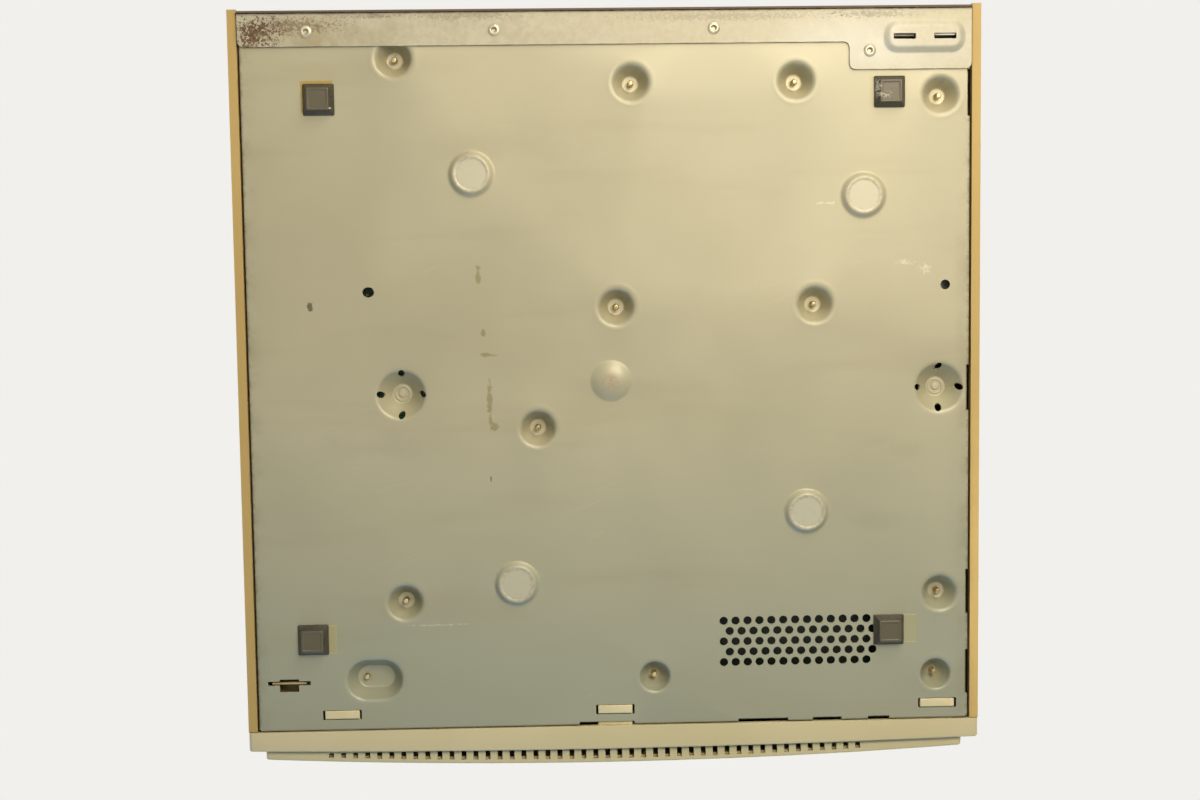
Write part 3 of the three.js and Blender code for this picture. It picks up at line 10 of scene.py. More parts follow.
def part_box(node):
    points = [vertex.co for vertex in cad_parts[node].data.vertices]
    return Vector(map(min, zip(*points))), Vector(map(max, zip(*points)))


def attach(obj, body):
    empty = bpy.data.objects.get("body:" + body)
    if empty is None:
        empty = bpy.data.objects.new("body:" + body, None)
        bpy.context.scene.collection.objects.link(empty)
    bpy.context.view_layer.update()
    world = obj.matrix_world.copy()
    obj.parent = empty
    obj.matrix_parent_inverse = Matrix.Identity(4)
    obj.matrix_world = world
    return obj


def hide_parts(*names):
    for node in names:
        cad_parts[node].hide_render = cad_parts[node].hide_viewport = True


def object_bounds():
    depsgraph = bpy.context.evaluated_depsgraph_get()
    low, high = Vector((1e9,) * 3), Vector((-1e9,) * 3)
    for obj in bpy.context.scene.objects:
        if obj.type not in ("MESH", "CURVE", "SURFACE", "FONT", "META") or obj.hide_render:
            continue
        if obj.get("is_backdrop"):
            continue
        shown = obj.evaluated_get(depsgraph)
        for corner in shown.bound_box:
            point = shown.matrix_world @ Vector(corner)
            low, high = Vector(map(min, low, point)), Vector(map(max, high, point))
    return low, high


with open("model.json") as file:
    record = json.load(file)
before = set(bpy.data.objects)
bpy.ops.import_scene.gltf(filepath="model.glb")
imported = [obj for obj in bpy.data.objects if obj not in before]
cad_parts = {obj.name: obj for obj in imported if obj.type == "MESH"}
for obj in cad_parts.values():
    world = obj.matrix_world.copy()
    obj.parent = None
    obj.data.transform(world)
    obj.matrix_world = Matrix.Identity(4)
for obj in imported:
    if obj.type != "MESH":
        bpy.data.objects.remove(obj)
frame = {"nodes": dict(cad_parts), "record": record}
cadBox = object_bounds()
scene = bpy.context.scene
scene.view_settings.view_transform = "Standard"
mm = 0.001               # sizes below are in millimetres, and a mesh is made in metres
bodyOf = {node: body for body, nodes in frame["record"]["behaviour"]["bodies"].items() for node in nodes}


def cadCorners(node):
    # lowest and highest corner of a CAD node in millimetres
    low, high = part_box(node)
    return np.array(low) / mm, np.array(high) / mm


def cadMiddle(node):
    low, high = cadCorners(node)
    return (low + high) / 2


def frontMiddle(node):
    # X and Z of the middle, for what is drawn in the face or in the rear panel
    return cadMiddle(node)[[0, 2]]


panLow, panHigh = cadCorners("bottom_pan")
coverHigh = cadCorners("top_cover")[1]
panelHigh = cadCorners("rear_panel")[1]
soleTop = cadCorners("foot_rear_left")[1][2]          # underside of the pan
seamGap = 0.3
jointY = panLow[1] - seamGap                          # where bezel and cover meet
panHalf = panHigh[0]
panDepth = coverHigh[1] - jointY                      # joint to the cover's rear edge
panelSetback = 1.7
panelRear = jointY + panDepth - panelSetback          # outside of the rear panel
sheet = 1.0


def onPan(shareX, shareY):
    # a place on the pan from its shares of the half width and of the depth
    return np.array([shareX * panHalf, jointY + shareY * panDepth])


# Camera and lamps
cameraLook = {"place": (28.5, jointY + 234.4, -812.1), "turn": (175.5208, 1.6512, -179.2241), "lens": 48,
              "sensor": 36}
lampLooks = {
    "glow_below_lamp": {"place": (-260, 420, -800), "aim": (-30, 10, 0), "size": 0.45, "power": 6.4,
                        "tint": "FFF0D6"},
    "rear_below_lamp": {"place": (-280, 800, -430), "aim": (0, 20, 0), "size": 0.4, "power": 3.0,
                        "tint": "FFF0D8"},
    "front_below_lamp": {"place": (150, -1000, -300), "aim": (0, 0, 0), "size": 0.6, "power": 2.2,
                         "tint": "7FB8E8"},
    "key_lamp": {"place": (-750, -1250, 1050), "aim": (0, 0, 60), "size": 1.7, "power": 25,
                 "tint": "FFF2E0"},
    "fill_lamp": {"place": (1200, -500, 700), "aim": (0, 0, 60), "size": 1.3, "power": 8,
                  "tint": "EEF3FF"},
    "rear_lamp": {"place": (300, 1300, 1100), "aim": (0, 0, 60), "size": 1.2, "power": 9,
                  "tint": "F6F6FF"},
}
stageLook = {"backdrop": "F1F0EC", "floor": "E9E7E1", "ambient": 0.115, "ambientTint": "D6E2E8",
             "floorHalf": 6000, "fadeStart": 220, "fadeEnd": 820}


def tint(code):
    # a colour written as six hex digits, in linear light, with full alpha
    parts = np.array([int(code[i:i + 2], 16) for i in (0, 2, 4)]) / 255
    linear = np.where(parts <= 0.04045, parts / 12.92, ((parts + 0.055) / 1.055) ** 2.4)
    return (*linear.tolist(), 1.0)


def setInputs(tree, node, inputs):
    # links a node's inputs to sockets, or gives them plain values
    for name, value in inputs.items():
        if isinstance(value, bpy.types.NodeSocket):
            tree.links.new(value, node.inputs[name])
        else:
            node.inputs[name].default_value = value


def put(tree, kind, inputs=None, **settings):
    # adds a node and sets it up
    made = tree.nodes.new("ShaderNode" + kind)
    for name, value in settings.items():
        setattr(made, name, value)
    setInputs(tree, made, inputs or {})
    return made


def calc(tree, operation, first, second=0.5, third=0.0, clamp=False):
    return put(tree, "Math", {0: first, 1: second, 2: third}, operation=operation, use_clamp=clamp).outputs[0]


def calcVector(tree, operation, *values):
    made = put(tree, "VectorMath", dict(enumerate(values)), operation=operation)
    return made.outputs["Value" if operation in ("LENGTH", "DOT_PRODUCT") else "Vector"]


def axes(tree, place):
    return put(tree, "SeparateXYZ", {0: place}).outputs


def noiseAt(tree, place, scale, detail, roughness=0.5):
    return put(tree, "TexNoise", {"Vector": place, "Scale": scale, "Detail": detail,
                                  "Roughness": roughness}).outputs[0]


def between(tree, value, low, high, newLow=0.0, newHigh=1.0):
    # smooth step of a value from one range to another
    return put(tree, "MapRange", {0: value, 1: low, 2: high, 3: newLow, 4: newHigh},
               interpolation_type="SMOOTHSTEP").outputs[0]


def mixValue(tree, share, first, second):
    return put(tree, "Mix", {0: share, 2: first, 3: second}, data_type="FLOAT").outputs[0]


def mixColour(tree, share, first, second):
    return put(tree, "Mix", {0: share, 6: first, 7: second}, data_type="RGBA").outputs[2]


def addObject(name, data):
    made = bpy.data.objects.new(name, data)
    scene.collection.objects.link(made)
    return made


def makeCamera(look):
    lens = bpy.data.cameras.new("photo_camera")
    lens.lens, lens.sensor_width = look["lens"], look["sensor"]
    lens.clip_start, lens.clip_end = 0.01, 100
    holder = addObject("photo_camera", lens)
    holder.location = Vector(look["place"]) * mm
    holder.rotation_euler = [math.radians(angle) for angle in look["turn"]]
    scene.camera = holder


def makeLamps(looks):
    for name, look in looks.items():
        lamp = bpy.data.lights.new(name, "AREA")
        lamp.size, lamp.energy = look["size"], look["power"]
        lamp.color = tint(look["tint"])[:3]
        holder = addObject(name, lamp)
        holder.location = Vector(look["place"]) * mm
        aim = Vector(look["aim"]) * mm - holder.location
        holder.rotation_euler = aim.to_track_quat("-Z", "Y").to_euler()
        holder.visible_camera = False


def makeStage(look):
    world = bpy.data.worlds.new("pale_room")
    scene.world = world
    world.use_nodes = True
    tree = world.node_tree
    tree.nodes.clear()
    rays = put(tree, "LightPath").outputs
    seen = calc(tree, "MAXIMUM", calc(tree, "MAXIMUM", rays["Is Camera Ray"], rays["Is Glossy Ray"]),
                rays["Is Transmission Ray"])
    dim = put(tree, "Background", {"Color": tint(look["ambientTint"]), "Strength": look["ambient"]})
    pale = put(tree, "Background", {"Color": tint(look["backdrop"]), "Strength": 1.0})
    both = put(tree, "MixShader", {0: seen, 1: dim.outputs[0], 2: pale.outputs[0]})
    put(tree, "OutputWorld", {"Surface": both.outputs[0]})

    # the floor under the feet is seen from above alone, fades into the backdrop, and only shows itself
    # to the camera
    corners = np.array([[-1, -1, 0], [1, -1, 0], [1, 1, 0], [-1, 1, 0]]) * look["floorHalf"] * mm
    mesh = bpy.data.meshes.new("table_floor")
    mesh.from_pydata(corners.tolist(), [], [[0, 1, 2, 3]])
    piece = addObject("table_floor", mesh)
    material = bpy.data.materials.new("table_floor")
    material.use_nodes = True
    tree = material.node_tree
    tree.nodes.clear()
    away = calcVector(tree, "LENGTH", put(tree, "TexCoord").outputs["Object"])
    fade = between(tree, away, look["fadeStart"] * mm, look["fadeEnd"] * mm)
    paper = put(tree, "BsdfDiffuse", {"Color": tint(look["floor"])})
    far = put(tree, "Emission", {"Color": tint(look["backdrop"]), "Strength": 1.0})
    solid = put(tree, "MixShader", {0: fade, 1: paper.outputs[0], 2: far.outputs[0]})
    clear = put(tree, "BsdfTransparent")
    behind = put(tree, "NewGeometry").outputs["Backfacing"]
    seenSide = put(tree, "MixShader", {0: behind, 1: solid.outputs[0], 2: clear.outputs[0]})
    put(tree, "OutputMaterial", {"Surface": seenSide.outputs[0]})
    mesh.materials.append(material)
    piece.visible_diffuse = piece.visible_glossy = piece.visible_transmission = False
    piece.visible_shadow = False
    piece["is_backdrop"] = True


makeCamera(cameraLook)
makeLamps(lampLooks)
makeStage(stageLook)
print("camera, lamps and floor made")


# Shared effects: each group reads a place and a few values, and puts out one value
def startGroup(name, result, inputs):
    group = bpy.data.node_groups.new(name, "ShaderNodeTree")
    for label, value in {"Vector": (0, 0, 0), **inputs}.items():
        kind = "Vector" if isinstance(value, tuple) else "Float"
        socket = group.interface.new_socket(label, in_out="INPUT", socket_type="NodeSocket" + kind)
        socket.default_value = value
    group.interface.new_socket(result, in_out="OUTPUT", socket_type="NodeSocketFloat")
    return group, group.nodes.new("NodeGroupInput").outputs, group.nodes.new("NodeGroupOutput").inputs[result]


def useGroup(tree, group, inputs):
    return put(tree, "Group", inputs, node_tree=group).outputs[0]


def makeMottle():
    # two noises, one four times finer, as soft patches from 0 to 1
    group, given, result = startGroup("soft_mottling", "Mask", {"Scale": 20, "Fine Share": 0.3})
    broad = noiseAt(group, given["Vector"], given["Scale"], 4)
    fine = noiseAt(group, given["Vector"], calc(group, "MULTIPLY", given["Scale"], 4.3), 6)
    both = mixValue(group, given["Fine Share"], broad, fine)
    group.links.new(between(group, both, 0.34, 0.66), result)
    return group


def makeGrain():
    # fine even noise as a height
    group, given, result = startGroup("fine_grain", "Height", {"Scale": 900})
    group.links.new(noiseAt(group, given["Vector"], given["Scale"], 3, 0.6), result)
    return group


def makeSpot():
    # a ragged round or square patch round a centre: distance in half sizes, pushed about by noise
    group, given, result = startGroup("ragged_patch", "Mask", {
        "Centre": (0, 0, 0), "Half Size": (1, 1, 1), "Square": 0, "Ragged": 0.3, "Scale": 300,
        "Softness": 0.2})
    offset = calcVector(group, "SUBTRACT", given["Vector"], given["Centre"])
    sized = calcVector(group, "DIVIDE", offset, given["Half Size"])
    parts = axes(group, calcVector(group, "ABSOLUTE", sized))
    boxed = calc(group, "MAXIMUM", calc(group, "MAXIMUM", parts[0], parts[1]), parts[2])
    distance = mixValue(group, given["Square"], calcVector(group, "LENGTH", sized), boxed)
    noise = noiseAt(group, given["Vector"], given["Scale"], 6, 0.7)
    push = calc(group, "MULTIPLY", calc(group, "SUBTRACT", noise, 0.5), given["Ragged"])
    total = calc(group, "ADD", distance, calc(group, "MULTIPLY", push, 4.0))
    inner = calc(group, "SUBTRACT", 1.0, given["Softness"])
    group.links.new(between(group, total, inner, 1.0, 1.0, 0.0), result)
    return group


def makeScratches():
    # thin lines where a long drawn noise crosses its middle, kept only in a few patches
    group, given, result = startGroup("long_scratches", "Mask", {
        "Scale": 12, "Turn": 0.3, "Width": 0.004, "Sparse": 0.6})
    turned = put(group, "VectorRotate", {"Vector": given["Vector"], "Angle": given["Turn"]},
                 rotation_type="Z_AXIS").outputs[0]
    noise = noiseAt(group, calcVector(group, "MULTIPLY", turned, (1, 14, 14)), given["Scale"], 2)
    away = calc(group, "ABSOLUTE", calc(group, "SUBTRACT", noise, 0.5))
    line = calc(group, "LESS_THAN", away, given["Width"])
    patch = noiseAt(group, given["Vector"], calc(group, "MULTIPLY", given["Scale"], 1.7), 3)
    shown = calc(group, "GREATER_THAN", patch, given["Sparse"])
    group.links.new(calc(group, "MULTIPLY", line, shown), result)
    return group


def makeDirtAndShade():
    # dirt and painted shade where a surface is shut in by others: ambient occlusion darkens the colour in
    # recesses, broken up by noise
    group, given, result = startGroup("corner_dirt_and_painted_shade", "Mask", {"Reach": 0.004, "Scale": 90})
    shade = put(group, "AmbientOcclusion", {"Distance": given["Reach"]}, samples=6).outputs["AO"]
    noise = noiseAt(group, given["Vector"], given["Scale"], 5)
    shut = calc(group, "SUBTRACT", 1.0, shade)
    group.links.new(calc(group, "MULTIPLY", shut, calc(group, "ADD", noise, 0.5), clamp=True), result)
    return group


def makeWornEdge():
    # an edge is where the rounded normal turns away from the true one
    group, given, result = startGroup("worn_edge", "Mask", {"Width": 0.0006, "Scale": 160})
    soft = put(group, "Bevel", {"Radius": given["Width"]}, samples=4).outputs[0]
    match = calcVector(group, "DOT_PRODUCT", soft, put(group, "NewGeometry").outputs["Normal"])
    noise = noiseAt(group, given["Vector"], given["Scale"], 5)
    worn = calc(group, "MULTIPLY", between(group, match, 0.995, 0.86), between(group, noise, 0.3, 0.6))
    group.links.new(worn, result)
    return group


mottleGroup, grainGroup, spotGroup = makeMottle(), makeGrain(), makeSpot()
scratchGroup, dirtShadeGroup, edgeGroup = makeScratches(), makeDirtAndShade(), makeWornEdge()

plainLook = {
    "light": "C0C0C0", "dark": "A8A8A8", "mottle": 30, "fine": 0.35, "grain": 900, "grainHeight": 0.03,
    "rough": 0.5, "roughSpread": 0.12, "metal": 0.0, "specular": 0.5, "dirtShade": "4A4334", "dirtShadeShare": 0.5,
    "dirtShadeReach": 4, "dirtShadeRough": 0.3, "edge": "E0DDD0", "edgeShare": 0.0, "edgeWidth": 0.5,
    "scratch": "E8E4D4", "scratchShare": 0.0, "scratchScale": 12, "scratchTurn": 0.4,
}


def markMask(tree, place, mark):
    # where a mark lies: a value kept on the mesh, a mask of its own, or a patch round a place
    if "attribute" in mark:
        given = put(tree, "Attribute", attribute_name=mark["attribute"]).outputs["Fac"]
        ragged, cut = noiseAt(tree, place, mark.get("scale", 400), 6), mark.get("cut", 0.5)
        return calc(tree, "MULTIPLY", given, between(tree, ragged, cut - 0.12, cut + 0.12))
    if "mask" in mark:
        return mark["mask"](tree, place)
    x, y = mark["at"]                                 # y counts from the joint of bezel and cover
    return useGroup(tree, spotGroup, {
        "Vector": place, "Centre": Vector((x, y + jointY, mark.get("z", soleTop))) * mm,
        "Half Size": Vector((*mark["half"], mark["deep"])) * mm, "Square": mark.get("square", 0.0),
        "Ragged": mark["ragged"], "Scale": mark["scale"], "Softness": mark["soft"]})


def makeFinish(slot, name, look, marks=(), pattern=None):
    # base colour with mottling, pattern, marks, scratches, dirt and painted shade in recesses, worn edges,
    # and a grained bump
    look = {**plainLook, **look}
    material = bpy.data.materials.new(name)
    material.use_nodes = True
    tree = material.node_tree
    shader = next(node for node in tree.nodes if node.type == "BSDF_PRINCIPLED")
    place = put(tree, "TexCoord").outputs["Object"]
    mottle = useGroup(tree, mottleGroup, {
        "Vector": place, "Scale": look["mottle"], "Fine Share": look["fine"]})
    grain = useGroup(tree, grainGroup, {"Vector": place, "Scale": look["grain"]})
    colour = mixColour(tree, mottle, tint(look["dark"]), tint(look["light"]))
    rough = calc(tree, "MULTIPLY_ADD", mottle, look["roughSpread"], look["rough"] - look["roughSpread"] / 2)
    height = calc(tree, "MULTIPLY", grain, look["grainHeight"])
    metal = look["metal"]
    if pattern:
        colour, rough, height = pattern(tree, place, colour, rough, height)
    for mark in marks:
        mask = calc(tree, "MULTIPLY", markMask(tree, place, mark), mark.get("share", 1.0), clamp=True)
        colour = mixColour(tree, mask, colour, tint(mark["colour"]))
        if "rough" in mark:
            rough = mixValue(tree, mask, rough, mark["rough"])
        if "metal" in mark:
            metal = mixValue(tree, mask, metal, mark["metal"])
        if "rise" in mark:
            height = calc(tree, "MULTIPLY_ADD", mask, mark["rise"], height)
    if look["scratchShare"]:
        lines = useGroup(tree, scratchGroup, {
            "Vector": place, "Scale": look["scratchScale"], "Turn": look["scratchTurn"]})
        lines = calc(tree, "MULTIPLY", lines, look["scratchShare"])
        colour = mixColour(tree, lines, colour, tint(look["scratch"]))
    # dirt and painted shade: the colour turns to the dirt colour where ambient occlusion finds the surface
    # shut in
    if look["dirtShadeShare"]:
        dirtAndShade = useGroup(tree, dirtShadeGroup, {"Vector": place, "Reach": look["dirtShadeReach"] * mm})
        dirtAndShade = calc(tree, "MULTIPLY", dirtAndShade, look["dirtShadeShare"], clamp=True)
        colour = mixColour(tree, dirtAndShade, colour, tint(look["dirtShade"]))
        rough = calc(tree, "MULTIPLY_ADD", dirtAndShade, look["dirtShadeRough"], rough)
    if look["edgeShare"]:
        edge = useGroup(tree, edgeGroup, {"Vector": place, "Width": look["edgeWidth"] * mm})
        edge = calc(tree, "MULTIPLY", edge, look["edgeShare"])
        colour = mixColour(tree, edge, colour, tint(look["edge"]))
    bump = put(tree, "Bump", {"Height": height, "Strength": 1.0, "Distance": mm})
    setInputs(tree, shader, {"Base Color": colour, "Roughness": rough, "Normal": bump.outputs[0],
                             "Metallic": metal, "Specular IOR Level": look["specular"]})
    return material, slot


zincLook = {"scale": 190, "shade": "7F807C", "shadeShare": 0.32, "roughShare": 0.14}
boardLook = {"pitch": 1.27, "width": 0.3, "patches": 55, "bare": 0.25, "track": "4E8A56",
             "holePitch": 2.54, "hole": 0.24, "drilled": 0.45, "tin": "C6C1A8", "rise": 0.03}
ribbonLook = {"pitch": 1.27, "groove": "6E706E", "first": 1.3, "firstTint": "A33A32", "rise": 0.25}


def zincSpangle(tree, place, colour, rough, height):
    # crystals of hot zinc: each cell has its own shade and gloss
    cells = put(tree, "TexVoronoi", {"Vector": place, "Scale": zincLook["scale"]}).outputs["Color"]
    share = put(tree, "SeparateColor", {0: cells}).outputs[0]
    shade = calc(tree, "MULTIPLY", share, zincLook["shadeShare"])
    colour = mixColour(tree, shade, colour, tint(zincLook["shade"]))
    return colour, calc(tree, "MULTIPLY_ADD", share, zincLook["roughShare"], rough), height


def repeats(tree, value, pitch, width):
    # lines of a share of the pitch, repeated along one direction
    phase = calc(tree, "FRACT", calc(tree, "MULTIPLY", value, 1 / (pitch * mm)))
    return calc(tree, "LESS_THAN", calc(tree, "ABSOLUTE", calc(tree, "SUBTRACT", phase, 0.5)), width / 2)


def boardTracks(node):
    # copper tracks under the lacquer, which run one way or the other in patches, and tinned holes on a grid
    look, (low, high) = boardLook, cadCorners(node)
    longSides = sorted(np.argsort(high - low)[1:].tolist())

    def pattern(tree, place, colour, rough, height):
        parts = axes(tree, place)
        patch = put(tree, "TexVoronoi", {"Vector": place, "Scale": look["patches"]}, distance="CHEBYCHEV")
        shades = put(tree, "SeparateColor", {0: patch.outputs["Color"]}).outputs
        ways = [repeats(tree, parts[side], look["pitch"], look["width"]) for side in longSides]
        lines = mixValue(tree, calc(tree, "GREATER_THAN", shades[0], 0.5), *ways)
        lines = calc(tree, "MULTIPLY", lines, calc(tree, "GREATER_THAN", shades[1], look["bare"]))
        colour = mixColour(tree, lines, colour, tint(look["track"]))
        grid = put(tree, "TexVoronoi", {
            "Vector": place, "Scale": 1 / (look["holePitch"] * mm), "Randomness": 0.0})
        holes = calc(tree, "LESS_THAN", grid.outputs[0], look["hole"])
        shown = calc(tree, "MULTIPLY", holes, calc(tree, "LESS_THAN", shades[1], look["drilled"]))
        colour = mixColour(tree, shown, colour, tint(look["tin"]))
        raised = calc(tree, "MAXIMUM", lines, shown)
        return colour, rough, calc(tree, "MULTIPLY_ADD", raised, look["rise"], height)
    return pattern


def ribbonRibs(tree, place, colour, rough, height):
    # one rib for each wire, and a red first wire
    look, across = ribbonLook, axes(tree, place)[0]
    phase = calc(tree, "MULTIPLY", across, 2 * math.pi / (look["pitch"] * mm))
    rib = calc(tree, "ABSOLUTE", calc(tree, "SINE", calc(tree, "MULTIPLY", phase, 0.5)))
    colour = mixColour(tree, between(tree, rib, 0.5, 0.0), colour, tint(look["groove"]))
    first = calc(tree, "LESS_THAN", across, (cadCorners("drive_ribbon")[0][0] + look["first"]) * mm)
    colour = mixColour(tree, first, colour, tint(look["firstTint"]))
    return colour, rough, calc(tree, "MULTIPLY_ADD", rib, look["rise"], height)


# Shapes
def gridFaces(rows, columns, closed=False):
    # quads between neighbouring rows and columns, where closed joins the last column to the first
    row, column = np.meshgrid(np.arange(rows - 1), np.arange(columns - (not closed)), indexing="ij")
    here, right = row * columns + column, row * columns + (column + 1) % columns
    return np.stack([here, right, right + columns, here + columns], -1).reshape(-1, 4)


def softCorners(corners, reach, steps=4, closed=False):
    # each corner becomes a short parabola that starts and ends at the given reach from it
    corners = np.asarray(corners, float)
    reach = np.broadcast_to(reach, len(corners)).reshape(-1, 1)

    def toward(other):
        span = other - corners
        length = np.maximum(np.linalg.norm(span, axis=1, keepdims=True), 1e-9)
        return corners + span * np.minimum(reach / length, 0.5)

    first, last = toward(np.roll(corners, 1, 0)), toward(np.roll(corners, -1, 0))
    t = np.linspace(0, 1, steps + 1)[None, :, None]
    curve = (1 - t) ** 2 * first[:, None] + 2 * t * (1 - t) * corners[:, None] + t ** 2 * last[:, None]
    if not closed:
        curve[0], curve[-1] = corners[0], corners[-1]
    line = curve.reshape(-1, corners.shape[1])
    kept = np.linalg.norm(line - np.roll(line, 1, 0), axis=1) > 1e-4
    if not closed:
        kept[0] = True
    return line[kept]


def ringOf(angle):
    # the unit circle at the given angles
    return np.stack([np.cos(angle), np.sin(angle)], -1)


def circle(centre, radius, count, shape=(1, 1), turn=0.0):
    # an oval: cosine and sine of the angle, each with its own half length, then turned
    angle = np.arange(count) * 2 * np.pi / count
    x, y = radius * shape[0] * np.cos(angle), radius * shape[1] * np.sin(angle)
    c, s = math.cos(turn), math.sin(turn)
    return np.stack([x * c - y * s, x * s + y * c], 1) + centre


def capsule(centre, halfLength, radius, count=24):
    # half circles round the two ends of a line along X
    angle = np.linspace(0, 2 * np.pi, 2 * count, endpoint=False) + np.pi / (2 * count) - np.pi / 2
    shift = np.where(np.cos(angle) > 0, halfLength, -halfLength)
    return np.stack([shift + radius * np.cos(angle), radius * np.sin(angle)], 1) + centre


def roundedLoops(halfX, halfY, corner, steps=5):
    # rectangles with round corners: quarter circles stand on the corners of an inner rectangle
    halfX, halfY, corner = (np.reshape(value, (-1, 1)).astype(float) for value in (halfX, halfY, corner))
    quarter = np.linspace(0, np.pi / 2, steps + 1)
    angle = (quarter[None] + np.arange(4)[:, None] * np.pi / 2).ravel()
    signX = np.repeat([1, -1, -1, 1], steps + 1)
    signY = np.repeat([1, 1, -1, -1], steps + 1)
    x = signX * (halfX - corner) + corner * np.cos(angle)
    y = signY * (halfY - corner) + corner * np.sin(angle)
    return np.stack([x, y], -1)


def window(half, corner, steps, place):
    # one such rectangle round a place
    return roundedLoops(*half, corner, steps)[0] + place


def stacked(loops, heights, centre=(0, 0)):
    # loops one above another, joined by quads and closed at both ends
    rows, columns = loops.shape[:2]
    tall = np.broadcast_to(np.reshape(heights, (-1, 1, 1)), (rows, columns, 1))
    points = np.concatenate([loops + np.asarray(centre), tall], -1).reshape(-1, 3)
    ends = [np.arange(columns)[None, ::-1], (rows - 1) * columns + np.arange(columns)[None]]
    return points, [gridFaces(rows, columns, closed=True), *ends]


def turned(profile, centre, columns=32):
    # a profile of radius and height carried round an upright axis
    profile = np.asarray(profile, float)
    ring = ringOf(np.arange(columns) * 2 * np.pi / columns)
    points = np.concatenate([
        profile[:, None, :1] * ring[None] + np.asarray(centre[:2]),
        np.broadcast_to(profile[:, None, 1:], (len(profile), columns, 1))], -1).reshape(-1, 3)
    return points, [gridFaces(len(profile), columns, closed=True)]


def layDown(points, axisPlace):
    # turns a body from an upright axis to one along Y: height becomes Y, and its Y becomes height
    x, z = axisPlace
    return np.stack([points[:, 0] + x, points[:, 2], -points[:, 1] + z], 1)


def insideLoop(points, loop):
    # even-odd rule: counts the sides of the loop that a line to the right of each point crosses
    x, y = points[:, 0, None], points[:, 1, None]
    x0, y0 = loop[:, 0], loop[:, 1]
    x1, y1 = np.roll(x0, -1), np.roll(y0, -1)
    crosses = (y0 > y) != (y1 > y)
    edge = x0 + (y - y0) * (x1 - x0) / np.where(y1 == y0, 1e-12, y1 - y0)
    return (crosses & (x < edge)).sum(1) % 2 == 1


def flatPlate(outline, holes, rings=(), lines=()):
    # triangles between the outline, holes, rings and lines of a flat drawing, with those in holes left out
    loops = [outline, *holes, *rings, *lines]
    points = np.concatenate(loops)
    starts = np.cumsum([0] + [len(loop) for loop in loops[:-1]])
    closed = len(loops) - len(lines)
    edges = [np.stack([np.arange(len(loop)), np.roll(np.arange(len(loop)), -1)], 1) + start
             for start, loop in zip(starts, loops)]
    edges = np.concatenate(edges[:closed] + [edge[:-1] for edge in edges[closed:]])
    found = delaunay_2d_cdt([Vector(p) for p in points.tolist()], edges.tolist(), [], 0, 1e-5)
    flat = np.array([tuple(v) for v in found[0]])
    faces = np.array([f for f in found[2] if len(f) == 3])
    middle = flat[faces].mean(1)
    kept = insideLoop(middle, outline)
    for hole in holes:
        near = np.flatnonzero(kept & (middle > hole.min(0)).all(1) & (middle < hole.max(0)).all(1))
        kept[near[insideLoop(middle[near], hole)]] = False
    faces = faces[kept]
    a, b, c = (flat[faces[:, i]] for i in range(3))
    left = (b[:, 0] - a[:, 0]) * (c[:, 1] - a[:, 1]) - (b[:, 1] - a[:, 1]) * (c[:, 0] - a[:, 0])
    faces[left < 0] = faces[left < 0][:, ::-1]
    return flat, faces                                # counter-clockwise as drawn


def divided(loop, step):
    # the same closed outline with more points along its long edges
    following = np.roll(loop, -1, 0)
    counts = np.maximum(np.ceil(np.linalg.norm(following - loop, axis=1) / step).astype(int), 1)
    start = np.repeat(np.arange(len(loop)), counts)
    share = (np.arange(len(start)) - np.repeat(np.cumsum(counts) - counts, counts)) / counts[start]
    return loop[start] + (following - loop)[start] * share[:, None]


def lifted(flat, depth):
    # a drawing in X and Z put at a depth along Y, which is a number or a function of X
    depths = depth(flat[:, 0]) if callable(depth) else np.full(len(flat), depth)
    return np.column_stack([flat[:, 0], depths, flat[:, 1]])


def tube(loop, near, far):
    # the side of a drawing carried along Y from near to far
    return np.concatenate([lifted(loop, near), lifted(loop, far)]), gridFaces(2, len(loop), closed=True)


def extruded(outline, holes, near, far):
    # a plate drawn in X and Z and carried along Y from near to far
    flat, faces = flatPlate(outline, holes)
    sides = [tube(loop, near, far) for loop in (outline, *holes)]
    return joined((lifted(flat, near), faces), (lifted(flat, far), faces[:, ::-1]), *sides)


def softBox(low, high, edge=0.4, corner=0.6):
    # a box whose four upright edges and whose rims are rounded
    low, high = np.asarray(low, float), np.asarray(high, float)
    quarter = np.linspace(0, np.pi / 2, 4)
    inset = edge * np.concatenate([1 - np.sin(quarter), 1 - np.cos(quarter)])
    height = np.concatenate([low[2] + edge * (1 - np.cos(quarter)), high[2] - edge * (1 - np.sin(quarter))])
    halfX, halfY = (high - low)[:2] / 2
    loops = roundedLoops(halfX - inset, halfY - inset, np.maximum(corner - inset, 0.05), 3)
    return stacked(loops, height, ((low + high) / 2)[:2])


def joined(*parts):
    # several sets of points and faces as one
    points, faces, count = [], [], 0
    for partPoints, partFaces in parts:
        points.append(partPoints)
        faces += [face + count for face in (partFaces if isinstance(partFaces, list) else [partFaces])]
        count += len(partPoints)
    return np.concatenate(points), faces


def meshFrom(name, points, faces):
    faces = [face for face in (faces if isinstance(faces, list) else [faces]) if len(face)]
    corners = np.concatenate([face.ravel() for face in faces]).astype(np.int32)
    counts = np.concatenate([np.full(len(face), face.shape[1]) for face in faces])
    mesh = bpy.data.meshes.new(name)
    mesh.vertices.add(len(points))
    mesh.vertices.foreach_set("co", (np.asarray(points) * mm).astype(np.float32).ravel())
    mesh.loops.add(len(corners))
    mesh.loops.foreach_set("vertex_index", corners)
    mesh.polygons.add(len(counts))
    mesh.polygons.foreach_set("loop_start", np.concatenate([[0], np.cumsum(counts)[:-1]]).astype(np.int32))
    mesh.update(calc_edges=True)
    return mesh


meshLook = {"weld": 2e-6, "speck": 1e-7, "flat": 0.6, "bevelSteps": 2, "bevelAngle": 32}


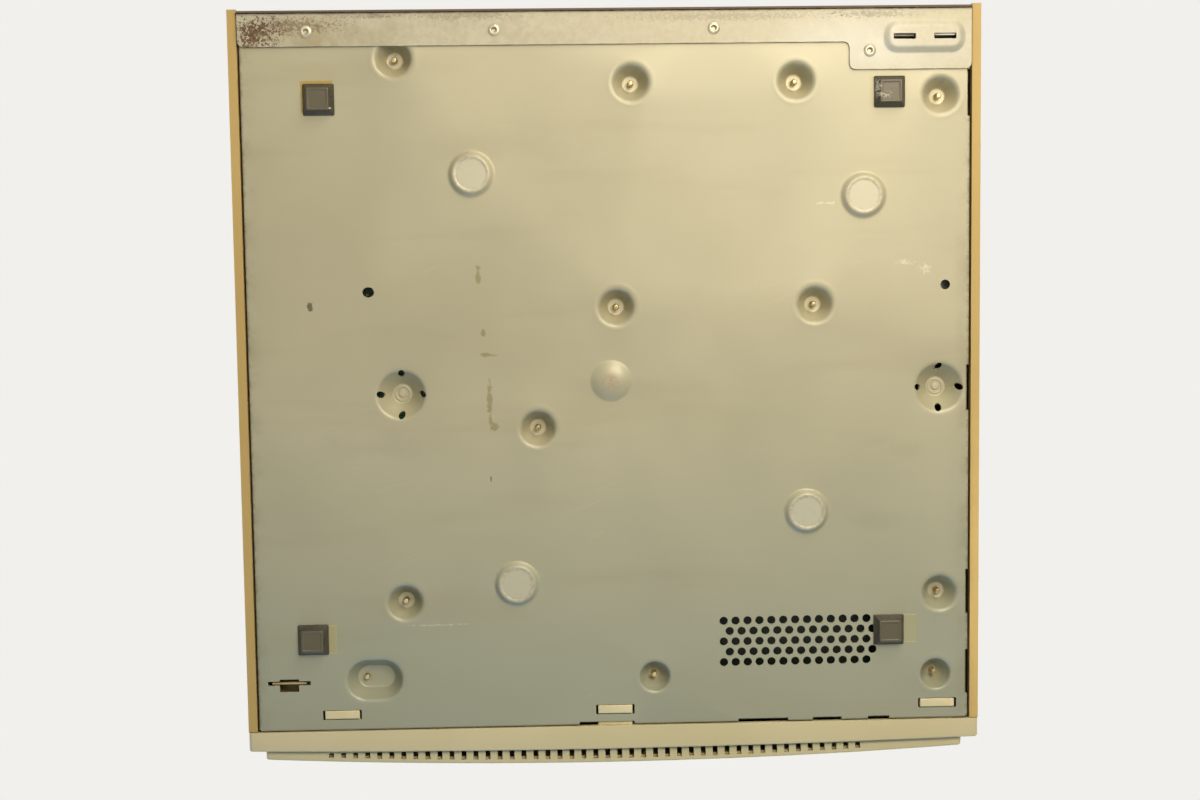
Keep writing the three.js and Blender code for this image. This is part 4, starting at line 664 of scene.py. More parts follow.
def makePiece(name, shape, finish, nodes=(), thickness=0, smooth=38, recalc=True, values=None):
    # a mesh with welded seams, a wall where it is an open sheet, and sharp edges where it turns
    mesh = meshFrom(name, *shape)
    for label, numbers in (values or {}).items():
        mesh.attributes.new(label, "FLOAT", "POINT").data.foreach_set("value", numbers.astype(np.float32))
    work = bmesh.new()
    work.from_mesh(mesh)
    bmesh.ops.remove_doubles(work, verts=work.verts, dist=meshLook["weld"])
    bmesh.ops.dissolve_degenerate(work, edges=work.edges, dist=meshLook["speck"])
    if recalc:
        bmesh.ops.recalc_face_normals(work, faces=work.faces)
    work.to_mesh(mesh)
    work.free()
    piece = addObject(name, mesh)
    if thickness:
        wall = piece.modifiers.new("sheet_wall", "SOLIDIFY")
        wall.thickness, wall.offset = thickness * mm, -1
        ready = bpy.data.meshes.new_from_object(piece.evaluated_get(bpy.context.evaluated_depsgraph_get()))
        piece.modifiers.clear()
        piece.data = mesh = ready
        mesh.name = name
    mesh.shade_smooth()
    mesh.set_sharp_from_angle(angle=math.radians(smooth))
    settle(piece, finish, nodes)


def settle(piece, finish, nodes):
    # finish, body and the CAD nodes that a piece stands for
    material, slot = finish
    piece.data.materials.clear()
    piece.data.materials.append(material)
    if nodes:
        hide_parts(*nodes)
    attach(piece, bodyOf[nodes[0]] if nodes else "case")


def softenedCopy(node, finish, width):
    # a CAD node with its flat faces joined again and its edges rounded
    mesh = frame["nodes"][node].data.copy()
    mesh.name = node + "_soft"
    work = bmesh.new()
    work.from_mesh(mesh)
    bmesh.ops.remove_doubles(work, verts=work.verts, dist=meshLook["weld"])
    bmesh.ops.dissolve_limit(work, angle_limit=math.radians(meshLook["flat"]), verts=work.verts,
                             edges=work.edges)
    work.to_mesh(mesh)
    work.free()
    piece = addObject(node + "_soft", mesh)
    rounding = piece.modifiers.new("rounded_edges", "BEVEL")
    rounding.width, rounding.segments = width * mm, meshLook["bevelSteps"]
    rounding.limit_method, rounding.angle_limit = "ANGLE", math.radians(meshLook["bevelAngle"])
    even = piece.modifiers.new("even_normals", "WEIGHTED_NORMAL")      # keeps flat faces flat in the light
    even.weight, even.keep_sharp = 100, True
    mesh.shade_smooth()
    settle(piece, finish, [node])


# Rear panel: its flange under the pan, the raised pad, and the wall with its openings
panelLook = {
    "bend": 1.1, "reach": 17.1, "wideReach": 31, "wideShare": -0.665, "corner": 3.6, "topCorner": 6.5,
    "pad": {"share": -0.871, "setback": 14.8, "half": (17.95, 5.35), "corner": 4, "rise": 1.6,
            "section": [(3.5, 0), (2.6, 0), (0, 1), (-1.4, 1)]},
    "padSlot": {"half": (5.6, 1.35), "offset": 10.3}, "rivetHole": 1.8,
    "slats": {"slot": 4, "pitch": 7, "rim": 3, "corner": 1.2}, "inletWindow": (13.8, 10.3),
    "slotWindow": (54, 6), "keyboardWindow": (8.3, 7.8), "gap": 0.3, "shellSlant": 1.4, "shellHeight": 8.4,
    "shellHalf": {"printer_port": 19.5, "serial_port": 8.5, "monitor_port": 8.5},
}


def padPlace():
    # middle of the raised pad on the flange
    return np.array([panelLook["pad"]["share"] * panHalf, panelRear - panelLook["pad"]["setback"]])


def padSlots(wider):
    slot = panelLook["padSlot"]
    return [window(np.array(slot["half"]) + wider, 0.3, 2, padPlace() + (sign * slot["offset"], 0))
            for sign in (-1, 1)]


def rivetHoles():
    return [circle(cadMiddle(f"flange_rivet_{i}")[:2], panelLook["rivetHole"], 12) for i in range(1, 5)]


# Bottom pan: the profiles go from the rim of a form to its middle, with how far each corner is rounded
panLook = {
    "bend": 1.1, "side": 32, "front": 14, "rear": 9, "padSlotWider": 0.8,
    "wellPoints": 40, "wellReach": (0, 1.1, 1.6, 1.6, 0.8, 0),
    "well": [(13.6, 0), (11.2, -0.22), (9.2, 0), (7.7, 2.4), (4.3, 9), (1.55, 9)],
    "dimple": [(11.6, 0), (9.6, -0.2), (7.8, 0), (6.2, 4.6), (2.9, 9), (1.55, 9)],
    "dimpleReach": (0, 1, 1.4, 3.0, 1.6, 0),
    "slotted": [(15.2, 0), (12.4, 0.15), (11.2, 1.8), (5.1, 9), (4.3, 9), (4.0, 8.6), (3.3, 8.6), (3.0, 9),
                (2.1, 9), (1.8, 8.3), (0.02, 8.2)],
    "slottedReach": (0, 1.7, 1.6, 0.5, 0.1, 0.1, 0.1, 0.1, 0.1, 0.3, 0),
    "oblong": [(13.6, 0), (10.7, 0.15), (9.6, 2.0), (5.8, 9), (1.0, 9)], "oblongReach": (0, 1.7, 1.7, 0.9, 0),
    "disc": [(13, 0), (11.5, 0), (9.5, -2.3), (8.3, -2.3), (7.7, -2.1), (6.6, -2.1)],
    "discReach": (0, 0.9, 0.9, 0.4, 0.4, 0),
    "dome": [(12.4, 0), (10.5, 0), (7.6, -1.5), (4.2, -2.35), (0.4, -2.5)],
    "domeReach": (0, 0.5, 1.8, 1.8, 0),
    "oblongHalf": 3.9, "oblongAside": 4.8, "oblongHole": 1.55,
    "ovalHole": (2.1, 1.65), "ovalRing": 10.6, "ovalTurn": 0.45,
    "discs": [(0.377, 0.775), (-0.704, 0.74), (-0.543, 0.3), (0.27, 0.205)], "domeAt": (0, 0.4875),
    "slottedAt": [(0.581, 0.473), (-0.9155, 0.472)],
    "vent": {"at": (-0.308, 0.1465), "pitch": 6.21, "rowPitch": 5.45, "columns": 13, "rows": 5,
             "radius": 2.2},
    "hooks": (0.7665, 0, -0.913), "hookSlot": (20, 5.1), "hookY": 8.5, "tongue": 9.5,
    "cageSlot": {"at": (0.912, 0.0695), "length": 22, "width": 2.2, "mouth": (9.9, 6.6), "drop": -1.2},
    "sideNotches": {"shares": (0.067, 0.182, 0.471, 0.879), "length": 23.6, "depth": 1.7, "rise": 5},
    "frontNotches": {"at": ((0.024, 0.155), (-0.4185, 0.141), (-0.6, 0.082), (-0.746, 0.061)), "depth": 1.9},
    "holes": (((0.665, 0.615), (1.15, 1.0)), ((-0.932, 0.615), (0.96, 0.96))), "holeRadius": 2.6,
}
# how strong the marks of a form are at some distances from its middle
formMarks = {
    "disc": {"disc_edge": ([6.6, 7.9, 8.9, 9.7], [0, 0.8, 1, 0]), "disc_top": ([8.6, 9.6], [1, 0])},
    "dome": {"dome_top": ([2, 6.5], [1, 0])},
    "oblong": {"well_floor": ([5.4, 6.4], [0.35, 0])},
    **{kind: {"well_floor": ([4.2, 5.2], [1, 0])} for kind in ("well", "dimple", "slotted")},
}
pressedBy = {"screw_board": "well", "screw_supply": "well", "screw_cage_rear": "well",
             "screw_tray_rear": "well", "screw_tray_right": "dimple", "screw_tray_front": "dimple"}


def segmentDistance(points, centre, half):
    # distance to a line along X through the centre, half long on each side
    offset = points - centre
    offset[:, 0] -= np.clip(offset[:, 0], -half, half)
    return np.linalg.norm(offset, axis=1)


def pressings(look):
    # every pressed form: its centre, the half length of its middle line, and its profile from rim to middle
    forms = []
    for node in sorted(frame["nodes"]):
        kind = next((kind for start, kind in pressedBy.items() if node.startswith(start)), None)
        if kind:
            forms.append((kind, cadMiddle(node)[:2], 0))
    oblongAt = cadMiddle("screw_cage_front")[:2] - (look["oblongAside"], 0)
    forms.append(("oblong", oblongAt, look["oblongHalf"]))
    forms += [("slotted", onPan(*at), 0) for at in look["slottedAt"]]
    forms += [("disc", onPan(*at), 0) for at in look["discs"]]
    forms.append(("dome", onPan(*look["domeAt"]), 0))
    profiles = {kind: softCorners(look[kind], look.get(kind + "Reach", look["wellReach"]))
                for kind in formMarks}
    return [(kind, centre, half, profiles[kind]) for kind, centre, half in forms]


def foldedEdge(start, end, outward, rise, gaps, bend):
    # a flat edge that bends up through a quarter circle into a wall, left open at its gaps
    start, end, outward = (np.asarray(value, float) for value in (start, end, outward))
    length = np.linalg.norm(end - start)
    along = np.unique(np.concatenate([[0, length], *[gap[:2] for gap in gaps]]))
    quarter = np.linspace(0, np.pi / 2, 5)
    heights = np.unique(np.concatenate([[rise], *[gap[2:] for gap in gaps]]))
    heights = heights[(heights > bend) & (heights <= rise)]
    section = np.concatenate([np.stack([bend * np.sin(quarter), bend * (1 - np.cos(quarter))], 1),
                              np.stack([np.full(len(heights), bend), heights], 1)])
    line = start + (end - start) / length * along[:, None]
    flat = line[:, None] + outward * section[None, :, :1]
    tall = np.broadcast_to(section[None, :, 1:] + soleTop, flat.shape[:2] + (1,))
    points = np.concatenate([flat, tall], -1).reshape(-1, 3)
    faces = gridFaces(len(along), len(section))
    middle = np.stack(np.meshgrid((along[1:] + along[:-1]) / 2, (section[1:, 1] + section[:-1, 1]) / 2,
                                  indexing="ij"), -1).reshape(-1, 2)
    for begin, stop, low, high in gaps:
        shut = (middle[:, 0] > begin) & (middle[:, 0] < stop) & (middle[:, 1] > low) & (middle[:, 1] < high)
        faces, middle = faces[~shut], middle[~shut]
    a, b, c = points[faces[0][:3]]
    if np.cross(b - a, c - b)[2] > 0:
        faces = faces[:, ::-1]
    return points, [faces]


def cageSlotLoop(cage):
    # a narrow slot with a wider mouth in its middle
    arm, thin = cage["length"] / 2, cage["width"] / 2
    mouth, tall = np.array(cage["mouth"]) / 2
    low, high = cage["drop"] - tall, cage["drop"] + tall
    tee = [(-arm, -thin), (-mouth, -thin), (-mouth, low), (mouth, low), (mouth, -thin), (arm, -thin),
           (arm, thin), (mouth, thin), (mouth, high), (-mouth, high), (-mouth, thin), (-arm, thin)]
    return softCorners(np.array(tee) + onPan(*cage["at"]), 0.3, 2, closed=True)


def makePan(look, finish):
    forms = pressings(look)
    bend = look["bend"]
    right, left = panHalf - bend, -panHalf + bend
    front, rear = jointY + seamGap + bend, panHigh[1] - bend
    side, nose = look["sideNotches"], look["frontNotches"]
    sideAt, sideHalf = [jointY + share * panDepth for share in side["shares"]], side["length"] / 2
    sideGaps = [(at - sideHalf, at + sideHalf) for at in sideAt]
    noseGaps = [((at - width / 2) * panHalf, (at + width / 2) * panHalf) for at, width in sorted(nose["at"])]
    sideX, noseY = -panHalf + side["depth"], jointY + seamGap + nose["depth"]
    outline = [(left, front)]
    for begin, stop in noseGaps:
        outline += [(begin, front), (begin, noseY), (stop, noseY), (stop, front)]
    outline += [(right, front), (right, rear), (left, rear)]
    for begin, stop in sideGaps[::-1]:
        outline += [(left, stop), (sideX, stop), (sideX, begin), (left, begin)]

    vent = look["vent"]
    rows, columns = np.meshgrid(np.arange(vent["rows"]), np.arange(vent["columns"]), indexing="ij")
    ventX = -columns * vent["pitch"] - (rows % 2) * vent["pitch"] / 2
    ventAt = np.stack([ventX, -rows * vent["rowPitch"]], -1).reshape(-1, 2) + onPan(*vent["at"])
    holes = [circle(at, vent["radius"], 14) for at in ventAt]
    holes += [circle(onPan(*at), look["holeRadius"], 24, shape) for at, shape in look["holes"]]
    holes += [window(np.array(look["hookSlot"]) / 2, 0.5, 3, (share * panHalf, jointY + look["hookY"]))
              for share in look["hooks"]]
    holes += [cageSlotLoop(look["cageSlot"]), *rivetHoles(), *padSlots(look["padSlotWider"])]
    rings = []
    for kind, centre, half, profile in forms:
        loops = [capsule(centre, half, radius) if half else circle(centre, radius, look["wellPoints"])
                 for radius in profile[:, 0] if radius > 0.5]
        if kind in ("well", "dimple"):
            holes.append(loops.pop())
        rings += loops
        if kind == "slotted":
            angles = np.arange(4) * np.pi / 2
            holes += [circle(spot, 1, 16, look["ovalHole"], look["ovalTurn"] + angle)
                      for spot, angle in zip(centre + look["ovalRing"] * ringOf(angles), angles)]
    holes.append(circle(cadMiddle("screw_cage_front")[:2], look["oblongHole"], 16))
    flat, faces = flatPlate(np.array(outline), holes, rings)

    depth = np.zeros(len(flat))
    values = {name: np.zeros(len(flat)) for name in ("disc_edge", "disc_top", "well_floor", "dome_top")}
    for kind, centre, half, profile in forms:
        away = segmentDistance(flat, centre, half)
        order = np.argsort(profile[:, 0])
        inside = away < profile[:, 0].max()
        depth[inside] = np.interp(away[inside], profile[order, 0], profile[order, 1])
        for name, (distances, shares) in formMarks[kind].items():
            values[name] += np.interp(away, distances, shares)
    plate = (np.column_stack([flat, soleTop + depth]), faces[:, ::-1])

    rise = side["rise"]
    gates = [(x - look["tongue"], x + look["tongue"]) for x in np.array(look["hooks"]) * panHalf]
    sideOpen = [(begin - front, stop - front, -1, rise) for begin, stop in sideGaps]
    noseOpen = [(begin - left, stop - left, -1, rise) for begin, stop in noseGaps]
    gateOpen = [(begin - left, stop - left, bend, rise) for begin, stop in gates]
    points, allFaces = joined(
        plate,
        foldedEdge((left, front), (left, rear), (-1, 0), look["side"], sideOpen, bend),
        foldedEdge((right, front), (right, rear), (1, 0), look["side"], [], bend),
        foldedEdge((left, front), (right, front), (0, -1), look["front"], noseOpen + gateOpen, bend),
        foldedEdge((left, rear), (right, rear), (0, 1), look["rear"], [], bend))
    values = {name: np.concatenate([np.clip(numbers, 0, 1), np.zeros(len(points) - len(flat))])
              for name, numbers in values.items()}
    makePiece("bottom_pan_sheet", (points, allFaces), finish, ["bottom_pan"], thickness=sheet, recalc=False,
              smooth=48, values=values)


def roundedDistance(points, centre, half, corner):
    # how far a point lies outside a rectangle with round corners, negative inside
    beyond = np.abs(points - centre) - (np.array(half) - corner)
    return np.linalg.norm(np.maximum(beyond, 0), axis=1) + np.minimum(beyond.max(1), 0) - corner


def makeRearPanel(look, finish):
    bend, half = look["bend"], panelHigh[0]
    fold, wideX = panelRear - bend, look["wideShare"] * panHalf
    near, wide = panelRear - look["reach"], panelRear - look["wideReach"]
    corners = [(-half, fold), (-half, wide), (wideX, wide), (wideX, near), (half, near), (half, fold)]
    outline = softCorners(corners, np.array([0, 1, 1, 1, 1, 0]) * look["corner"], 6, closed=True)
    pad, padAt = look["pad"], padPlace()
    profile = softCorners(pad["section"], (0, 1.1, 1.1, 0))
    offsets, lift = profile[:, 0], profile[:, 1]
    padSizes = [size + offsets for size in (*pad["half"], pad["corner"])]
    rings = list(roundedLoops(*padSizes) + padAt)
    flat, faces = flatPlate(outline, padSlots(0) + rivetHoles(), rings)
    away = roundedDistance(flat, padAt, pad["half"], pad["corner"])
    order = np.argsort(offsets)
    drop = np.interp(away, offsets[order], lift[order], right=0) * pad["rise"]
    flange = (np.column_stack([flat, soleTop - sheet - drop]), faces[:, ::-1])

    # the wall is drawn in X and Z
    base, top = soleTop - sheet + bend, panelHigh[2]
    wallOutline = softCorners([(-half, base), (half, base), (half, top), (-half, top)],
                              (0, 0, look["topCorner"], look["topCorner"]), 6, closed=True)
    slats, fanAt = look["slats"], frontMiddle("fan_frame")
    fanLow, fanHigh = cadCorners("fan_frame")
    bore, slatHalf = (fanHigh[2] - fanLow[2]) / 2 - slats["rim"], slats["slot"] / 2
    rises = np.arange(-bore + slats["pitch"] / 2, bore, slats["pitch"])
    reaches = np.sqrt(np.maximum(bore ** 2 - (np.abs(rises) + slatHalf) ** 2, 0))
    windows = [window((reach, slatHalf), slats["corner"], 3, fanAt + (0, up))
               for up, reach in zip(rises, reaches) if reach > 2 * slatHalf]
    windows.append(window(look["inletWindow"], 1, 3, frontMiddle("power_inlet")))
    windows += [window(look["slotWindow"], 1, 3, frontMiddle(f"slot_cover_{i}")) for i in (1, 2, 3)]
    windows.append(window(look["keyboardWindow"], 1, 3, frontMiddle("keyboard_port")))
    gap, slant = look["gap"], look["shellSlant"]
    tall = look["shellHeight"] / 2 + gap
    for node, reach in look["shellHalf"].items():
        shell = [(-reach - gap + slant, -tall), (reach + gap - slant, -tall), (reach + gap, tall),
                 (-reach - gap, tall)]
        windows.append(softCorners(np.array(shell) + frontMiddle(node), 1.2, 3, closed=True))
    drawn, wallFaces = flatPlate(wallOutline, windows)
    wall = (lifted(drawn, panelRear), wallFaces[:, ::-1])
    quarter = np.linspace(0, np.pi / 2, 6)
    section = np.stack([fold + bend * np.sin(quarter), base - bend * np.cos(quarter)], 1)
    ends = np.array([-half, half])
    strip = np.concatenate([np.broadcast_to(ends[:, None, None], (2, 6, 1)),
                            np.broadcast_to(section[None], (2, 6, 2))], -1).reshape(-1, 3)
    makePiece("rear_panel_sheet", joined(flange, wall, (strip, gridFaces(2, 6)[:, ::-1])), finish,
              ["rear_panel"], thickness=sheet, recalc=False, smooth=48)


# Rivets, screws and feet: profiles of radius or half width and height
rivetLook = {
    "section": [(0, 1.2), (1.15, 1.2), (1.2, -0.5), (1.6, -0.85), (2.3, -0.75), (3.0, -0.3), (3.1, 0),
                (1.6, 0.02), (1.6, 2), (2.5, 2), (2.5, 2.5), (1.6, 2.8), (0, 2.8)],
    "reach": (0, 0.2, 0.3, 0.3, 0.4, 0.2, 0.1, 0, 0, 0, 0.3, 0.3, 0)}
screwLook = {"radius": 1.5, "tooth": 0.22, "pitch": 0.8, "longer": 2.6, "head": 3.1, "headHeight": 2,
             "columns": 24, "tip": [(0, 0), (1.05, 0), (1.3, 0.35)], "tipReach": (0, 0.3, 0),
             "threadStart": 0.45}
footLook = [(0.4, 0.3), (4.2, 0.3), (4.6, 0.02), (5.15, 0), (5.5, 0.22), (7.6, 4.3), (7.9, 4.6), (7.9, 5),
            (0.4, 5)]


def makeRivets(look, finish):
    section = softCorners(look["section"], look["reach"], 3) + (0, soleTop - sheet)
    for i in range(1, 5):
        node = f"flange_rivet_{i}"
        makePiece(node + "_rolled", turned(section, cadMiddle(node)[:2], 28), finish, [node])


def makeScrews(look, finish):
    # the thread is a radius that rises and falls once for each pitch, and moves up one pitch in each turn
    columns, head = look["columns"], look["head"]
    angle = np.arange(columns) * 2 * np.pi / columns
    for node in sorted(name for name in frame["nodes"] if name.startswith("screw_")):
        low, high = cadCorners(node)
        seat = high[2] - look["headHeight"]
        if not node.startswith("screw_cage_front"):
            low = low - (0, 0, look["longer"])        # the tips stand out into the wells
        height = np.arange(low[2] + look["threadStart"], seat, look["pitch"] / 8)
        phase = height[:, None] / look["pitch"] - angle[None] / (2 * np.pi)
        shank = look["radius"] - look["tooth"] * np.abs(2 * (phase % 1) - 1)
        taper = np.clip((height - low[2] + 2) / 3, 0.88, 1)[:, None]
        tip = softCorners(np.array(look["tip"]) + (0, low[2]), look["tipReach"], 3)
        top = [(look["radius"] - 0.1, seat), (head, seat), (head, seat + 0.9), (head * 0.6, high[2]),
               (0, high[2])]
        crown = softCorners(top, (0, 0.1, 0.4, 0.6, 0), 4)
        tipRadii, crownRadii = (np.repeat(part[:, :1], columns, 1) for part in (tip, crown))
        radii = np.concatenate([tipRadii, shank * taper, crownRadii])
        tall = np.concatenate([tip[:, 1], height, crown[:, 1]])
        points = np.concatenate([radii[..., None] * ringOf(angle) + ((low + high) / 2)[:2],
                                 np.broadcast_to(tall[:, None, None], (len(tall), columns, 1))], -1)
        shape = (points.reshape(-1, 3), gridFaces(len(tall), columns, closed=True))
        makePiece(node + "_threaded", shape, finish, [node])


def makeFeet(profile, finish):
    half, height = np.array(profile).T
    loops = roundedLoops(half, half, np.minimum(0.3 + 0.05 * half, half * 0.5), 3)
    for node in ("foot_rear_right", "foot_rear_left", "foot_front_right", "foot_front_left"):
        makePiece(node + "_pad", stacked(loops, height, cadMiddle(node)[:2]), finish, [node], smooth=24)


# Front bezel: a bowed rim that carries on the cover, and a bowed face that stands further out
bezelLook = {
    "drop": 0.6, "wall": 2.5, "edge": 0.9, "innerEdge": 0.3, "cell": 10.0, "fit": 0.3,
    "rim": {"inset": 0, "drop": 0, "top": 0, "corners": (2, 8), "ends": 9.9, "middle": 12.4},
    "face": {"inset": 8, "drop": 3, "top": 6, "corners": (2, 5), "ends": 15.2, "middle": 20.4},
    "vent": {"count": 45, "pitch": 6.257, "width": 2.6, "share": 0.0565, "lip": 2.2},
    "buttons": {"power_button": 7.3, "reset_button": 3.3}, "light": (4.3, 1.8), "wheelSlot": (10.5, 2.5),
    "wheelRise": 2, "grille": {"count": 7, "pitch": 5, "half": (21, 1.1)}, "shroud": 2, "shroudDepth": 10,
    "post": 3, "postInset": (7, 3.5),
    "tongue": {"half": 8.95, "root": -6, "tip": 12.85, "thick": 2, "hook": 2.25},
}


def bowLine(stage, half):
    # one arc through both ends and the middle: how far it lies in front of the joint at X
    rise = stage["middle"] - stage["ends"]
    radius = (half ** 2 + rise ** 2) / (2 * rise)
    centre = jointY + radius - stage["middle"]
    return lambda x: centre - np.sqrt(radius ** 2 - np.minimum(np.abs(x), half) ** 2)


def bezelLoop(half, low, high, corners, belowCuts, aboveCuts, steps=5):
    # closed outline in X and Z, from the lower left along the underside, and its outward directions
    quarter = np.linspace(0, np.pi / 2, steps + 1)
    places, outward = [], []
    edges = [(belowCuts, low, -1, corners[0]), (aboveCuts[::-1], high, 1, corners[1])]
    for cuts, z, side, corner in edges:
        kept = cuts[np.abs(cuts) < half - corner - 0.3]
        places.append(np.stack([kept, np.full(len(kept), z)], 1))
        outward.append(np.tile([0.0, side], (len(kept), 1)))
        second = corners[1] if side < 0 else corners[0]
        for radius, centre, start in (
                (corner, (-side * (half - corner), z - side * corner), side * np.pi / 2),
                (second, (-side * (half - second), (high - second) if side < 0 else (low + second)),
                 0 if side < 0 else np.pi)):
            ring = ringOf(start + quarter)
            places.append(np.array(centre) + radius * ring)
            outward.append(ring)
    return np.concatenate(places), np.concatenate(outward)


def bezelSkin(look, inset, openings, lines):
    # one side of the bezel's wall: the outer skin at inset 0, the inner one at the wall's thickness
    vent, half, base, top = look["vent"], coverHigh[0], soleTop - look["drop"], coverHigh[2]
    slots = vent["share"] * panHalf + (np.arange(vent["count"]) - (vent["count"] - 1) / 2) * vent["pitch"]
    starts, stops = slots - vent["width"] / 2, slots + vent["width"] / 2
    even = np.arange(-18, 19) * look["cell"]
    outside = even[(even < starts[0] - 3) | (even > stops[-1] + 3)]
    below = np.sort(np.concatenate([outside, starts, stops]))
    edge = look["edge"] if not inset else look["innerEdge"]
    quarter = np.linspace(0, np.pi / 2, 5)
    rounding = list(zip(edge * (1 - np.cos(quarter)), edge * (1 - np.sin(quarter))))
    loops, arcs, parts = {}, {}, []
    for name in ("rim", "face"):
        stage = look[name]
        stageHalf = half - stage["inset"]
        arc = bowLine(stage, stageHalf)
        arcs[name] = lambda x, arc=arc: arc(x) + inset
        corners = np.maximum(np.array(stage["corners"]) - inset, 0.6)
        low, high = base + stage["drop"] + inset, top - stage["top"] - inset
        belowCuts = even if name == "rim" else below
        places, outward = bezelLoop(stageHalf - inset, low, high, corners, belowCuts, even)
        if name == "rim":
            rows = [lifted(places, jointY)]
        else:
            back = arcs["rim"](places[:, 0])
            shelf = np.minimum(back - 0.1, jointY - look["rim"]["middle"])
            lip = arcs["face"](places[:, 0]) + (vent["lip"] if not inset else edge + 0.1)
            rows = [np.column_stack([places[:, 0], depth, places[:, 1]]) for depth in (back, shelf, lip)]
        for aside, behind in rounding:
            rows.append(lifted(places - outward * aside, lambda x: arcs[name](x) + behind))
        grid = np.stack(rows)
        faces = gridFaces(len(rows), len(places), closed=True).reshape(len(rows) - 1, len(places), 4)
        if name == "face":
            columns = np.flatnonzero(np.isin(places[:, 0], starts) & (outward[:, 1] < -0.5))
            cuts = (1, columns), (1, columns + 1), (2, columns + 1), (2, columns)
            vents = np.stack([grid[cut] for cut in cuts], 1)
            kept = np.ones(faces.shape[:2], bool)
            kept[1, columns] = False
            faces = faces[kept]
        parts.append((grid.reshape(-1, 3), faces.reshape(-1, 4)))
        loops[name] = (places, places - outward * edge)
    ledge, ledgeFaces = flatPlate(loops["rim"][1], [loops["face"][0]])
    front, frontFaces = flatPlate(loops["face"][1], openings, lines=lines)
    parts += [(lifted(ledge, arcs["rim"]), ledgeFaces), (lifted(front, arcs["face"]), frontFaces)]
    return parts, loops["rim"][0], arcs["face"], vents


def faceLines(look, openings):
    # upright lines in the face, cut short where they would meet an opening
    stage, wall = look["face"], look["wall"]
    base, top = soleTop - look["drop"] + stage["drop"] + wall + 1, coverHigh[2] - stage["top"] - wall - 1
    lines = []
    for x in np.arange(-17, 18) * look["cell"] + 0.01:
        spans = sorted((loop[:, 1].min() - 1, loop[:, 1].max() + 1) for loop in openings
                       if loop[:, 0].min() - 0.5 < x < loop[:, 0].max() + 0.5)
        starts, stops = [base] + [span[1] for span in spans], [span[0] for span in spans] + [top]
        lines += [np.array([(x, low), (x, high)]) for low, high in zip(starts, stops) if high - low > 1]
    return lines


def makeBezel(look, finish, hookFinish):
    fit, wall = look["fit"], look["wall"]
    driveBoxes = [cadCorners(f"drive_{name}_face") for name in "ab"]
    windows = [window((high - low)[[0, 2]] / 2 + fit, 0.4, 2, ((low + high) / 2)[[0, 2]])
               for low, high in driveBoxes]
    holes = [circle(frontMiddle(node), radius, 32) for node, radius in look["buttons"].items()]
    holes.append(window(look["light"], 0.4, 3, frontMiddle("power_light")))
    wheelLow, wheelHigh = cadCorners("volume_wheel")
    wheelAt = np.array([(wheelLow[0] + wheelHigh[0]) / 2, wheelLow[2] + look["wheelRise"]])
    holes.append(window(look["wheelSlot"], 0.6, 3, wheelAt))
    grille = look["grille"]
    rises = (np.arange(grille["count"]) - (grille["count"] - 1) / 2) * grille["pitch"]
    holes += [window(grille["half"], 0.9, 3, frontMiddle("speaker") + (0, rise)) for rise in rises]
    openings = [divided(loop, look["cell"]) for loop in windows + holes]
    lines = faceLines(look, openings)

    outer, outerRim, outerArc, outerVents = bezelSkin(look, 0, openings, lines)
    inner, innerRim, innerArc, innerVents = bezelSkin(look, wall, openings, lines)
    seam, seamFaces = flatPlate(outerRim, [innerRim])
    sides = [tube(loop, outerArc, innerArc) for loop in openings]
    deep = outerVents + (0, 0, wall - 0.05)
    tubes = np.stack([outerVents, deep, innerVents], 1).reshape(-1, 3)
    firstPoints = np.arange(len(outerVents))[:, None, None] * 12
    tubeFaces = (gridFaces(3, 4, closed=True)[None] + firstPoints).reshape(-1, 4)
    makePiece("front_bezel_skin", joined(*outer, *inner, (lifted(seam, jointY), seamFaces), *sides,
                                         (tubes, tubeFaces)), finish, ["front_bezel"], smooth=30)

    lows, highs = np.min([box[0] for box in driveBoxes], 0), np.max([box[1] for box in driveBoxes], 0)
    shroudHalf = (highs - lows)[[0, 2]] / 2 + fit + look["shroud"]
    shroudLoop = divided(window(shroudHalf, 1, 3, ((lows + highs) / 2)[[0, 2]]), look["cell"])
    parts = [extruded(shroudLoop, openings[:2], lambda x: innerArc(x) - 0.1, lows[1] + look["shroudDepth"])]
    boardLow, boardHigh = cadCorners("control_board")
    insetX, insetZ = look["postInset"]
    for x in (boardLow[0] + insetX, boardHigh[0] - insetX):
        for z in (boardLow[2] + insetZ, boardHigh[2] - insetZ):
            near, far = innerArc(np.array([x]))[0] - 0.1, boardLow[1]
            section = [(0, near), (look["post"], near), (look["post"], far), (0, far)]
            post, postFaces = turned(section, (0, 0), 20)
            parts.append((layDown(post, (x, z)), postFaces))
    makePiece("front_bezel_frames", joined(*parts), finish, ["front_bezel"])

    tongue, under, parts = look["tongue"], soleTop + sheet + fit, []
    half, hook, hookY = tongue["half"], tongue["hook"], jointY + panLook["hookY"]
    for x in np.array(panLook["hooks"]) * panHalf:
        parts.append(softBox((x - half, jointY + tongue["root"], under),
                             (x + half, jointY + tongue["tip"], under + tongue["thick"])))
        parts.append(softBox((x - half, hookY - hook, soleTop),
                             (x + half, hookY + hook, under + 0.2), 0.5, 0.5))
    makePiece("front_bezel_tongues", joined(*parts), hookFinish, ["front_bezel"])


